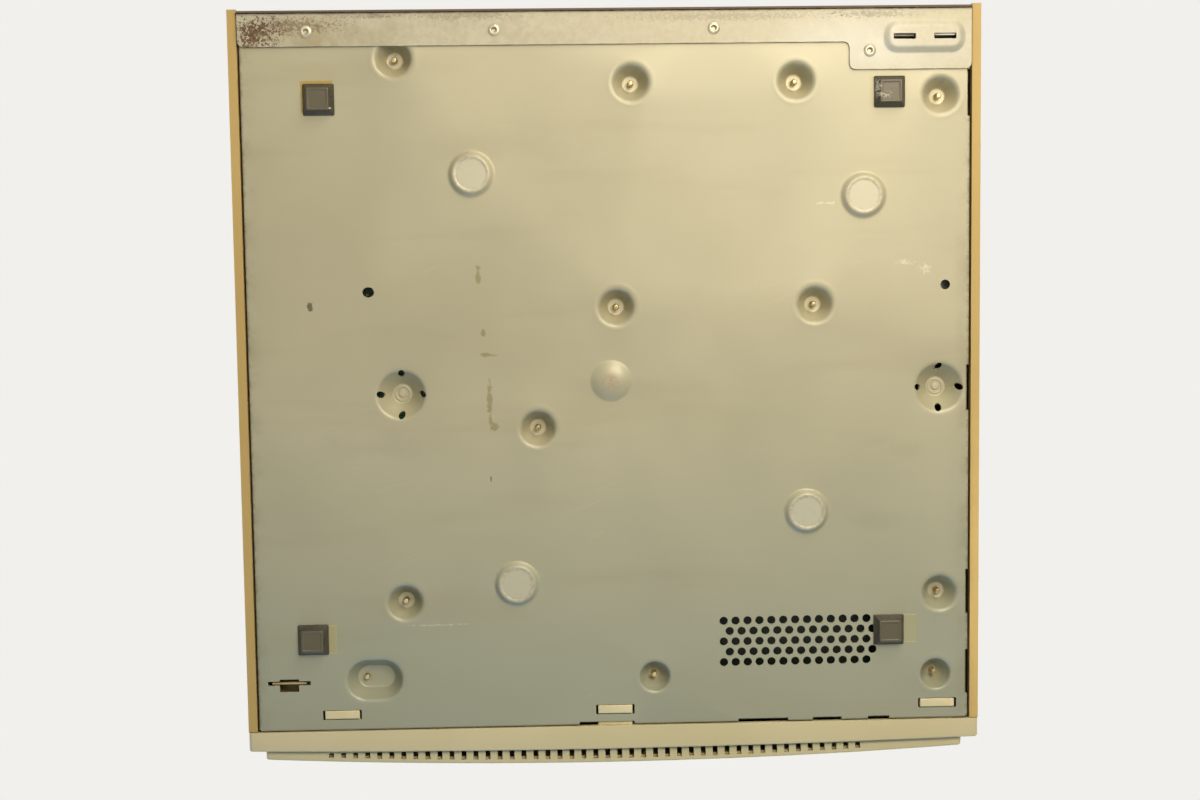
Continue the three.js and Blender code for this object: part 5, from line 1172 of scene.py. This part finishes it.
# Controls in the face, sockets in the rear panel, and the tabs under it
buttonLook = {"power_button": (7, 0.7), "reset_button": (3, 0.3), "depth": 9, "collar": 1.2, "gap": 0.8,
              "brim": 0.9}
wheelLook = {"ribs": 44, "ribDepth": 0.4, "points": 352, "profile": [
    (0, 0, 0), (6, 0, 0), (6.6, 0.4, 0), (9.4, 0.4, 0), (10, 0, 0), (10.6, 0.1, 0.4), (11, 0.5, 1),
    (11, 3.5, 1), (10.6, 3.9, 0.4), (10, 4, 0), (2, 4, 0), (2, 7.7, 0), (1.7, 8, 0), (0, 8, 0)]}
socketLook = {"rows": {"printer_port": (13, 12), "serial_port": (5, 4), "monitor_port": (5, 5, 5)},
              "inset": 1.05, "height": 3.1, "slant": 1.3, "pitch": {2: (2.77, 2.84), 3: (2.29, 1.98)},
              "pin": 0.5, "sunk": 0.3, "back": 0.85, "nut": 2.6, "nutAside": 4.1, "nutBore": 1.2,
              "nutHeight": 1.9, "nutPoints": 24}
driveLampLook = {"half": (2.2, 0.9), "aside": -43, "rise": 5, "proud": 0.3, "root": 0.5}
tabLook = {"half": 5.2, "thick": 0.5, "aside": 0.72, "sunk": (0.6, 2.4), "into": 0.3}


def makeButtons(look, finish):
    # a round cap with a hollow face, a parabola of the radius, and a collar behind the bezel's wall
    arc = bowLine(bezelLook["face"], coverHigh[0] - bezelLook["face"]["inset"])
    for node in ("power_button", "reset_button"):
        radius, dish = look[node]
        x, z = frontMiddle(node)
        front, reach = cadCorners(node)[0][1], radius + look["collar"]
        collar = float(arc(np.array([x - reach, x + reach])).max()) + bezelLook["wall"] + look["gap"]
        back, brim = front + look["depth"], radius - look["brim"]
        inner = np.linspace(0, brim, 7)
        hollow = np.stack([inner, front + dish * (1 - (inner / inner[-1]) ** 2)], 1)
        outside = [(brim, front), (radius, front), (radius, collar), (reach, collar), (reach, collar + 1),
                   (radius, collar + 1), (radius, back), (0, back)]
        stem = softCorners(outside, (0, 0.45, 0, 0.15, 0.15, 0, 0.3, 0), 4)
        points, faces = turned(np.concatenate([hollow, stem]), (0, 0), 48)
        makePiece(node + "_cap", (layDown(points, (x, z)), faces), finish, [node])


def makeWheel(look, finish):
    # a turned wheel whose rim sinks once for each rib, by a cosine of the angle
    low, high = cadCorners("volume_wheel")
    profile = np.array(look["profile"])
    angle = np.arange(look["points"]) * 2 * np.pi / look["points"]
    sunk = look["ribDepth"] * (0.5 - 0.5 * np.cos(look["ribs"] * angle))
    radius = profile[:, :1] - profile[:, 2:] * sunk
    tall = np.broadcast_to(profile[:, 1, None, None] + low[2], radius.shape + (1,))
    points = np.concatenate([radius[..., None] * ringOf(angle) + ((low + high) / 2)[:2], tall], -1)
    makePiece("volume_wheel_ribbed", (points.reshape(-1, 3), gridFaces(*radius.shape, closed=True)), finish,
              ["volume_wheel"], smooth=30)


def socketNut(look, base):
    # a nut on an upright axis: its radius follows six flat sides where it isn't round
    count, reach, bore, top = look["nutPoints"], look["nut"], look["nutBore"], base + look["nutHeight"]
    angle = np.arange(count) * 2 * np.pi / count
    sixSided, even = np.cos(np.pi / 6) / np.cos(angle % (np.pi / 3) - np.pi / 6), np.ones(count)
    profile = [(0, base, even), (reach, base, sixSided), (reach, top - 0.3, sixSided),
               (reach - 0.4, top, even), (bore, top, even), (bore, base + 0.5, even), (0, base + 0.5, even)]
    rows = [np.column_stack([radius * outline[:, None] * ringOf(angle), np.full(count, depth)])
            for radius, depth, outline in profile]
    return np.concatenate(rows), gridFaces(len(profile), count, closed=True)


def makeSockets(look, insertFinish, nutFinish):
    # the dark insert with its contacts in each slanted shell, and a six-sided nut at each side of it
    nut, nutFaces = socketNut(look, panelHigh[1] - 0.1)
    for node, rows in look["rows"].items():
        rear, middle = cadCorners(node)[1][1], frontMiddle(node)
        half, tall, slant = panelLook["shellHalf"][node] - look["inset"], look["height"], look["slant"]
        across, down = look["pitch"][len(rows)]
        corners = np.array([(-half + slant, -tall), (half - slant, -tall), (half, tall), (-half, tall)])
        outline = softCorners(corners + middle, 1.0, 3, closed=True)
        pins = [((i - (count - 1) / 2) * across, ((len(rows) - 1) / 2 - row) * down)
                for row, count in enumerate(rows) for i in range(count)]
        insert = extruded(outline, [circle(middle + pin, look["pin"], 8) for pin in pins],
                          rear - look["back"], rear - look["sunk"])
        makePiece(node + "_insert", insert, insertFinish)
        aside = panelLook["shellHalf"][node] + look["nutAside"]
        nuts = [(layDown(nut, middle + (sign * aside, 0)), nutFaces) for sign in (-1, 1)]
        makePiece(node + "_nuts", joined(*nuts), nutFinish)


def makeDriveLamps(look, finish):
    for drive in ("drive_a_face", "drive_b_face"):
        low, high = cadCorners(drive)
        place = np.array([(low[0] + high[0]) / 2 + look["aside"], low[2] + look["rise"]])
        outline = window(look["half"], 0.3, 3, place)
        lamp = extruded(outline, [], low[1] - look["proud"], low[1] + look["root"])
        makePiece(drive.replace("face", "lamp"), lamp, finish)


def makeSupplyTabs(look, finish):
    # two tabs of the power supply's floor, which stand in the slots of the raised pad
    base = soleTop - sheet - panelLook["pad"]["rise"]
    floor = cadCorners("power_supply_case")[0][2] + look["into"]
    parts = []
    for sign, sunk in zip((-1, 1), look["sunk"]):
        x, y = padPlace() + (sign * panelLook["padSlot"]["offset"], look["aside"])
        parts.append(softBox((x - look["half"], y - look["thick"], base + sunk),
                             (x + look["half"], y + look["thick"], floor), 0.2, 0.2))
    makePiece("power_supply_tabs", joined(*parts), finish)


# Masks that a finish can use for a mark
def borderDirt(reach, scale):
    # dirt that fades with the distance from the pan's two long edges, broken up by noise
    def mask(tree, place):
        across = calc(tree, "ABSOLUTE", axes(tree, place)[0])
        near = between(tree, across, (panHalf - 1.5 * sheet - reach) * mm, (panHalf - 0.5) * mm)
        return calc(tree, "MULTIPLY", near, between(tree, noiseAt(tree, place, scale, 6, 0.65), 0.4, 0.62))
    return mask


def rearFold(tree, place):
    # the fold along the rear end of the flange, with a ragged inner limit
    parts = axes(tree, place)
    noise = noiseAt(tree, place, 350, 6, 0.65)
    start = calc(tree, "MULTIPLY_ADD", noise, -1.2 * mm, (panelHigh[1] - 0.15) * mm)
    low = calc(tree, "LESS_THAN", parts[2], (soleTop + 0.6) * mm)
    return calc(tree, "MULTIPLY", calc(tree, "GREATER_THAN", parts[1], start), low)


def paintedCoolShadeFront(tree, place):
    # painted shade and cool reflection: the colour turns darker and greyer-blue towards the front of the pan
    return between(tree, axes(tree, place)[1], 40 * mm, jointY * mm)


def drawnStreaks(tree, place):
    # faint broad streaks across the sheet, left by wiping
    noise = noiseAt(tree, calcVector(tree, "MULTIPLY", place, (1, 7, 1)), 5, 4, 0.55)
    return between(tree, noise, 0.5, 0.68)


def lowerFace(node, depth):
    # the lowest layer of a CAD node, up to the given depth
    limit = (cadCorners(node)[0][2] + depth) * mm
    return lambda tree, place: calc(tree, "LESS_THAN", axes(tree, place)[2], limit)


def patches(kind, *rows):
    # marks of one kind: each row has its place, its half sizes and what it changes in the kind
    return [{**kind, "at": (x, y), "half": (halfX, halfY), **(changes[0] if changes else {})}
            for x, y, halfX, halfY, *changes in rows]


rust = {"colour": "5F3F27", "deep": 9, "rough": 0.85, "metal": 0.0, "ragged": 2.2, "scale": 850, "soft": 0.3,
        "share": 0.8}
scuff = {"colour": "5B523C", "deep": 9, "ragged": 1.5, "scale": 900, "soft": 0.8, "share": 0.5}
# broad soft patches of painted light: painted highlights and painted shade
paintedLightPatch = {"deep": 9, "ragged": 0.2, "scale": 40}
glue = {"colour": "8A7F45", "deep": 2, "rough": 0.3, "ragged": 0.75, "scale": 220, "soft": 0.5, "share": 0.6,
        "rise": 0.04}
smudge = {"colour": "8B8770", "deep": 9, "ragged": 0.5, "scale": 34, "soft": 0.95, "share": 0.13}
speck = {"colour": "4F4326", "deep": 1, "ragged": 0.6, "scale": 500, "soft": 0.4, "share": 0.85}
scrape = {"colour": "EFEDE0", "deep": 1, "ragged": 1.9, "scale": 900, "soft": 0.6, "share": 0.45,
          "rough": 0.4}
tear = {"colour": "E4E1D2", "deep": 4, "z": 2, "ragged": 1.3, "scale": 900, "soft": 0.6, "share": 0.7,
        "rough": 0.9}
residue = {"colour": "B59C4E", "deep": 1, "square": 1.0, "ragged": 0.05, "scale": 400, "soft": 0.06,
           "rough": 0.6, "rise": 0.02}
rearFoot, frontFoot = (cadMiddle(f"foot_{end}_right")[1] - jointY for end in ("rear", "front"))

panSteel = makeFinish("pan_steel", "pan_steel_satin", {
    "light": "C4BFA2", "dark": "B9B599", "mottle": 5, "fine": 0.3, "grain": 1500, "grainHeight": 0.012,
    "rough": 0.4, "roughSpread": 0.06, "metal": 0.08, "specular": 0.65, "dirtShade": "6B6146", "dirtShadeShare": 0.4,
    "dirtShadeReach": 1.6, "scratchShare": 0.05, "scratchScale": 7}, marks=[
    # painted shade and cool reflection towards the front of the pan
    {"mask": paintedCoolShadeFront, "colour": "A3AA98", "share": 0.75},
    {"mask": drawnStreaks, "colour": "A79E7C", "share": 0.22},
    {"attribute": "disc_top", "colour": "DAD7C2", "share": 0.6, "cut": 0.3},
    {"attribute": "disc_edge", "colour": "8C7F5C", "share": 0.34, "cut": 0.52, "scale": 420},
    {"attribute": "dome_top", "colour": "B79C83", "share": 0.7, "cut": 0.5, "scale": 500},
    {"attribute": "well_floor", "colour": "C9C2A6", "share": 0.5, "cut": 0.35, "metal": 0.35, "rough": 0.4},
    {"mask": borderDirt(0.6, 300), "colour": "6A4E2C", "share": 0.5, "metal": 0.0, "rough": 0.7},
    {"mask": borderDirt(8, 60), "colour": "8A8265", "share": 0.3},
    *patches(residue, (146.3, rearFoot + 1.4, 8.2, 8.2),
             (-150.2, frontFoot, 7.6, 7.6, {"colour": "D8CF9A", "share": 0.7}),
             (-151.2, frontFoot, 7.4, 7.2, {"colour": "AFAE8E", "share": 0.9}),
             (151.2, frontFoot, 7.9, 7.6, {"colour": "CBBE80", "share": 0.8}),
             (150.6, frontFoot, 6.9, 7.0, {"colour": "B2AE88", "share": 0.8}),
             (-141.4, rearFoot + 1.1, 8.4, 8.4, {"colour": "C4BB8E", "share": 0.4})),
    *patches(glue, (62.1, 170, 1.7, 15), (59.8, 157, 3, 2), (63.7, 194, 6, 1.2), (65, 205.2, 1.2, 2.6),
             (67, 235, 1.6, 6)),
    *patches(speck, (152.4, 219.7, 1.6, 2.6), (62.3, 130.3, 0.4, 2)),
    *patches(scrape, (-111, 269, 5, 0.6), (-151.3, 238.4, 4.5, 1.2), (-161.6, 235.2, 2.6, 2.2),
             (90.1, 54.8, 15, 0.5, {"share": 0.35})),
    *patches(smudge, (-138, 147, 16, 5), (-149, 142, 20, 7), (-132, 105.5, 22, 6), (120, 148, 40, 9),
             (-10, 176, 60, 7), (60, 300, 70, 12)),
])
flangeSteel = makeFinish("flange_steel", "flange_steel_rusty", {
    "light": "C6C2AC", "dark": "B4AE96", "mottle": 60, "fine": 0.55, "grain": 1100, "grainHeight": 0.04,
    "rough": 0.5, "roughSpread": 0.14, "metal": 0.15, "dirtShadeShare": 0.45, "edge": "3E2A1C", "edgeShare": 0.95,
    "edgeWidth": 0.5, "dirtShadeReach": 2}, marks=[
    # painted shade: a broad darker patch at +X; painted highlight: a pale patch at -X
    *patches(paintedLightPatch, (150, 356, 52, 11, {"colour": "A2946A", "ragged": 0.4, "scale": 60, "soft": 0.9,
                                        "share": 0.45}),
             (-130, 346, 80, 26, {"colour": "DADCD6", "soft": 0.95, "share": 0.6})),
    *patches(rust, (176, 357, 9, 6), (160, 360, 20, 3.5, {"share": 0.5}), (178, 352, 4, 4, {"share": 0.6})),
    {"mask": rearFold, "colour": "4A2F1D", "share": 0.85, "metal": 0.0, "rough": 0.8},
    *patches(scuff, (117, 364.5, 19, 1.2), (70, 364, 26, 2, {"share": 0.35}),
             (-60, 363, 60, 2.4, {"share": 0.3}), (-135, 363.5, 24, 2, {"share": 0.4})),
])
plainSteel = makeFinish("plain_steel", "zinc_plated_steel", {
    "light": "B4B2AB", "dark": "9A9993", "mottle": 60, "metal": 0.7, "rough": 0.42, "dirtShadeShare": 0.4,
    "edge": "DDDBD4", "edgeShare": 0.3, "edgeWidth": 0.3}, pattern=zincSpangle)
castLook = {"mottle": 80, "rough": 0.5, "grain": 700, "grainHeight": 0.06, "dirtShadeShare": 0.5}
castMetal = makeFinish("cast_metal", "cast_drive_metal", {
    **castLook, "light": "B4B4B2", "dark": "9A9A98", "metal": 0.8})
screwSteel = makeFinish("screw_steel", "yellow_plated_screw", {
    "light": "D6C498", "dark": "A48C5C", "mottle": 300, "metal": 0.75, "rough": 0.32, "dirtShadeShare": 0.5,
    "dirtShadeReach": 0.8})
# the dark in the rivet holes is painted shade from the dirt and shade mask
rivetSteel = makeFinish("rivet_steel", "rolled_rivet_steel", {
    "light": "D2CCB4", "dark": "B8B196", "mottle": 250, "metal": 0.6, "rough": 0.36, "dirtShadeShare": 0.6,
    "dirtShadeReach": 1.2, "dirtShade": "3A2E20"})
coverPlastic = makeFinish("cover_plastic", "yellowed_cover_plastic", {
    "light": "D6BB7C", "dark": "CDB070", "mottle": 6, "fine": 0.2, "rough": 0.6, "specular": 0.3,
    "grain": 1000, "grainHeight": 0.05, "dirtShade": "6B4A22", "dirtShadeShare": 0.5, "dirtShadeReach": 3,
    # painted highlight: a pale yellow strip along the cover's side at -X
    "edge": "E8D4A0", "edgeShare": 0.4}, marks=patches(paintedLightPatch, (-189, 60, 8, 130, {
        "colour": "F6D68C", "deep": 5, "soft": 0.9, "share": 0.85})))
bezelPlastic = makeFinish("bezel_plastic", "bezel_plastic_grained", {
    "light": "EFE4BA", "dark": "E6DBAE", "mottle": 7, "fine": 0.2, "rough": 0.48, "grain": 1300,
    "grainHeight": 0.05, "dirtShade": "4C4126", "dirtShadeShare": 0.75, "dirtShadeReach": 2.5, "edge": "F0E8C4",
    "edgeShare": 0.4})
hookPlastic = makeFinish("bezel_plastic", "ivory_hook_plastic", {
    "light": "F8EEC6", "dark": "EFE4B8", "mottle": 40, "fine": 0.3, "rough": 0.45, "grain": 1300,
    "grainHeight": 0.04, "dirtShade": "6A5A36", "dirtShadeShare": 0.3, "dirtShadeReach": 0.7})
buttonPlastic = makeFinish("button_plastic", "button_plastic_satin", {
    "light": "AFA687", "dark": "9F967A", "mottle": 60, "rough": 0.42, "dirtShade": "4A412E"})
darkPlastic = makeFinish("dark_plastic", "black_moulded_plastic", {
    "light": "2A2925", "dark": "1D1C19", "mottle": 50, "rough": 0.5, "dirtShade": "6E695C", "dirtShadeShare": 0.35})
cageSteel = makeFinish("plain_steel", "passivated_cage_steel", {
    "light": "B9A678", "dark": "8F7C50", "mottle": 90, "metal": 0.5, "rough": 0.45, "dirtShadeShare": 0.6,
    "edge": "D8C79A", "edgeShare": 0.3, "edgeWidth": 0.3})
# painted shade: the tray steel is coloured dark so that the pan's vents look dark inside
darkenedTraySteel = makeFinish("plain_steel", "tray_steel_painted_dark", {
    "light": "6E6B5E", "dark": "565347", "mottle": 70, "metal": 0.5, "rough": 0.6, "dirtShadeShare": 0.6})
hardDriveMetal = makeFinish("cast_metal", "cast_drive_with_board", {
    **castLook, "light": "8E8E8C", "dark": "767674", "metal": 0.7}, marks=[
    {"mask": lowerFace("hard_drive", 1), "colour": "16240F", "metal": 0.0, "rough": 0.45}])
speakerSteel = makeFinish("speaker_steel", "black_speaker_steel", {
    "light": "2B2B29", "dark": "1F1F1D", "mottle": 60, "rough": 0.6, "dirtShade": "57524A", "dirtShadeShare": 0.3})
footRubber = makeFinish("foot_rubber", "worn_foot_rubber", {
    "light": "4C4838", "dark": "38342A", "mottle": 180, "fine": 0.6, "rough": 0.4, "grain": 900,
    "grainHeight": 0.08, "dirtShade": "2C261E", "edge": "7F7967", "edgeShare": 0.5, "edgeWidth": 0.5}, marks=[
    {"mask": lowerFace("foot_rear_left", 0.31), "colour": "69634E", "share": 0.8},
    *patches(tear, (-136.6, rearFoot + 3.6, 1.7, 3.6), (-139.2, rearFoot - 0.6, 4.2, 1.5),
             (139.5, rearFoot - 4.6, 0.9, 0.7)),
])
lacquer = {"light": "326442", "dark": "26502F", "mottle": 120, "rough": 0.35, "dirtShade": "1C2A18"}
boards = {node: makeFinish("circuit_board", "lacquered_" + node, lacquer, pattern=boardTracks(node))
          for node in ("motherboard", "memory_module", "riser_card", "control_board")}
lightLens = makeFinish("light_lens", "green_light_lens", {
    "light": "63B34E", "dark": "4F9A40", "mottle": 200, "rough": 0.18, "dirtShade": "2E5A24"})
ribbonGrey = makeFinish("ribbon", "ribbed_ribbon_grey", {
    "light": "969896", "dark": "858785", "mottle": 70, "rough": 0.6, "dirtShade": "3E3E3C"}, pattern=ribbonRibs)
print("finishes made")

makePan(panLook, panSteel)
makeRearPanel(panelLook, flangeSteel)
makeRivets(rivetLook, rivetSteel)
makeScrews(screwLook, screwSteel)
makeFeet(footLook, footRubber)
print("pan, rear panel, rivets, screws and feet made")
makeBezel(bezelLook, bezelPlastic, hookPlastic)
print("bezel made")

makeButtons(buttonLook, buttonPlastic)
makeWheel(wheelLook, buttonPlastic)
makeSockets(socketLook, darkPlastic, plainSteel)
makeDriveLamps(driveLampLook, lightLens)
makeSupplyTabs(tabLook, plainSteel)
print("buttons, wheel, sockets, drive lamps and tabs made")

softenedPieces = [        # finish, width of the rounded edges, and the CAD nodes
    (coverPlastic, 0.5, "top_cover"), (cageSteel, 0.2, "drive_cage"),
    (castMetal, 0.5, "drive_a_chassis", "drive_b_chassis"),
    (bezelPlastic, 0.35, "drive_a_face", "drive_b_face"),
    (buttonPlastic, 0.2, "drive_a_door", "drive_b_door"),
    (buttonPlastic, 0.6, "drive_a_eject", "drive_b_eject"), (ribbonGrey, 0.15, "drive_ribbon"),
    (darkenedTraySteel, 0.2, "hard_drive_tray"), (hardDriveMetal, 0.7, "hard_drive"),
    (boards["motherboard"], 0.15, "motherboard"), (darkPlastic, 0.4, "main_processor"),
    (boards["memory_module"], 0.15, "memory_module"), (plainSteel, 0.3, "clock_battery"),
    (boards["riser_card"], 0.15, "riser_card"),
    (plainSteel, 0.25, "slot_cover_1", "slot_cover_2", "slot_cover_3"), (darkPlastic, 0.3, "keyboard_port"),
    (plainSteel, 0.25, "printer_port", "serial_port", "monitor_port", "power_supply_case"),
    (darkPlastic, 0.3, "power_inlet"), (darkPlastic, 0.5, "fan_frame"), (darkPlastic, 0.3, "fan_rotor"),
    (lightLens, 0.4, "power_light"), (boards["control_board"], 0.15, "control_board"),
    (speakerSteel, 0.3, "speaker"), (screwSteel, 0.3, "cover_screw_left", "cover_screw_right"),
]
for finish, width, *nodes in softenedPieces:
    for node in nodes:
        softenedCopy(node, finish, width)
print("softened copies made")

boxes = {"cad": cadBox, "visual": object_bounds()}
{name: [list(corner) for corner in box] for name, box in boxes.items()}
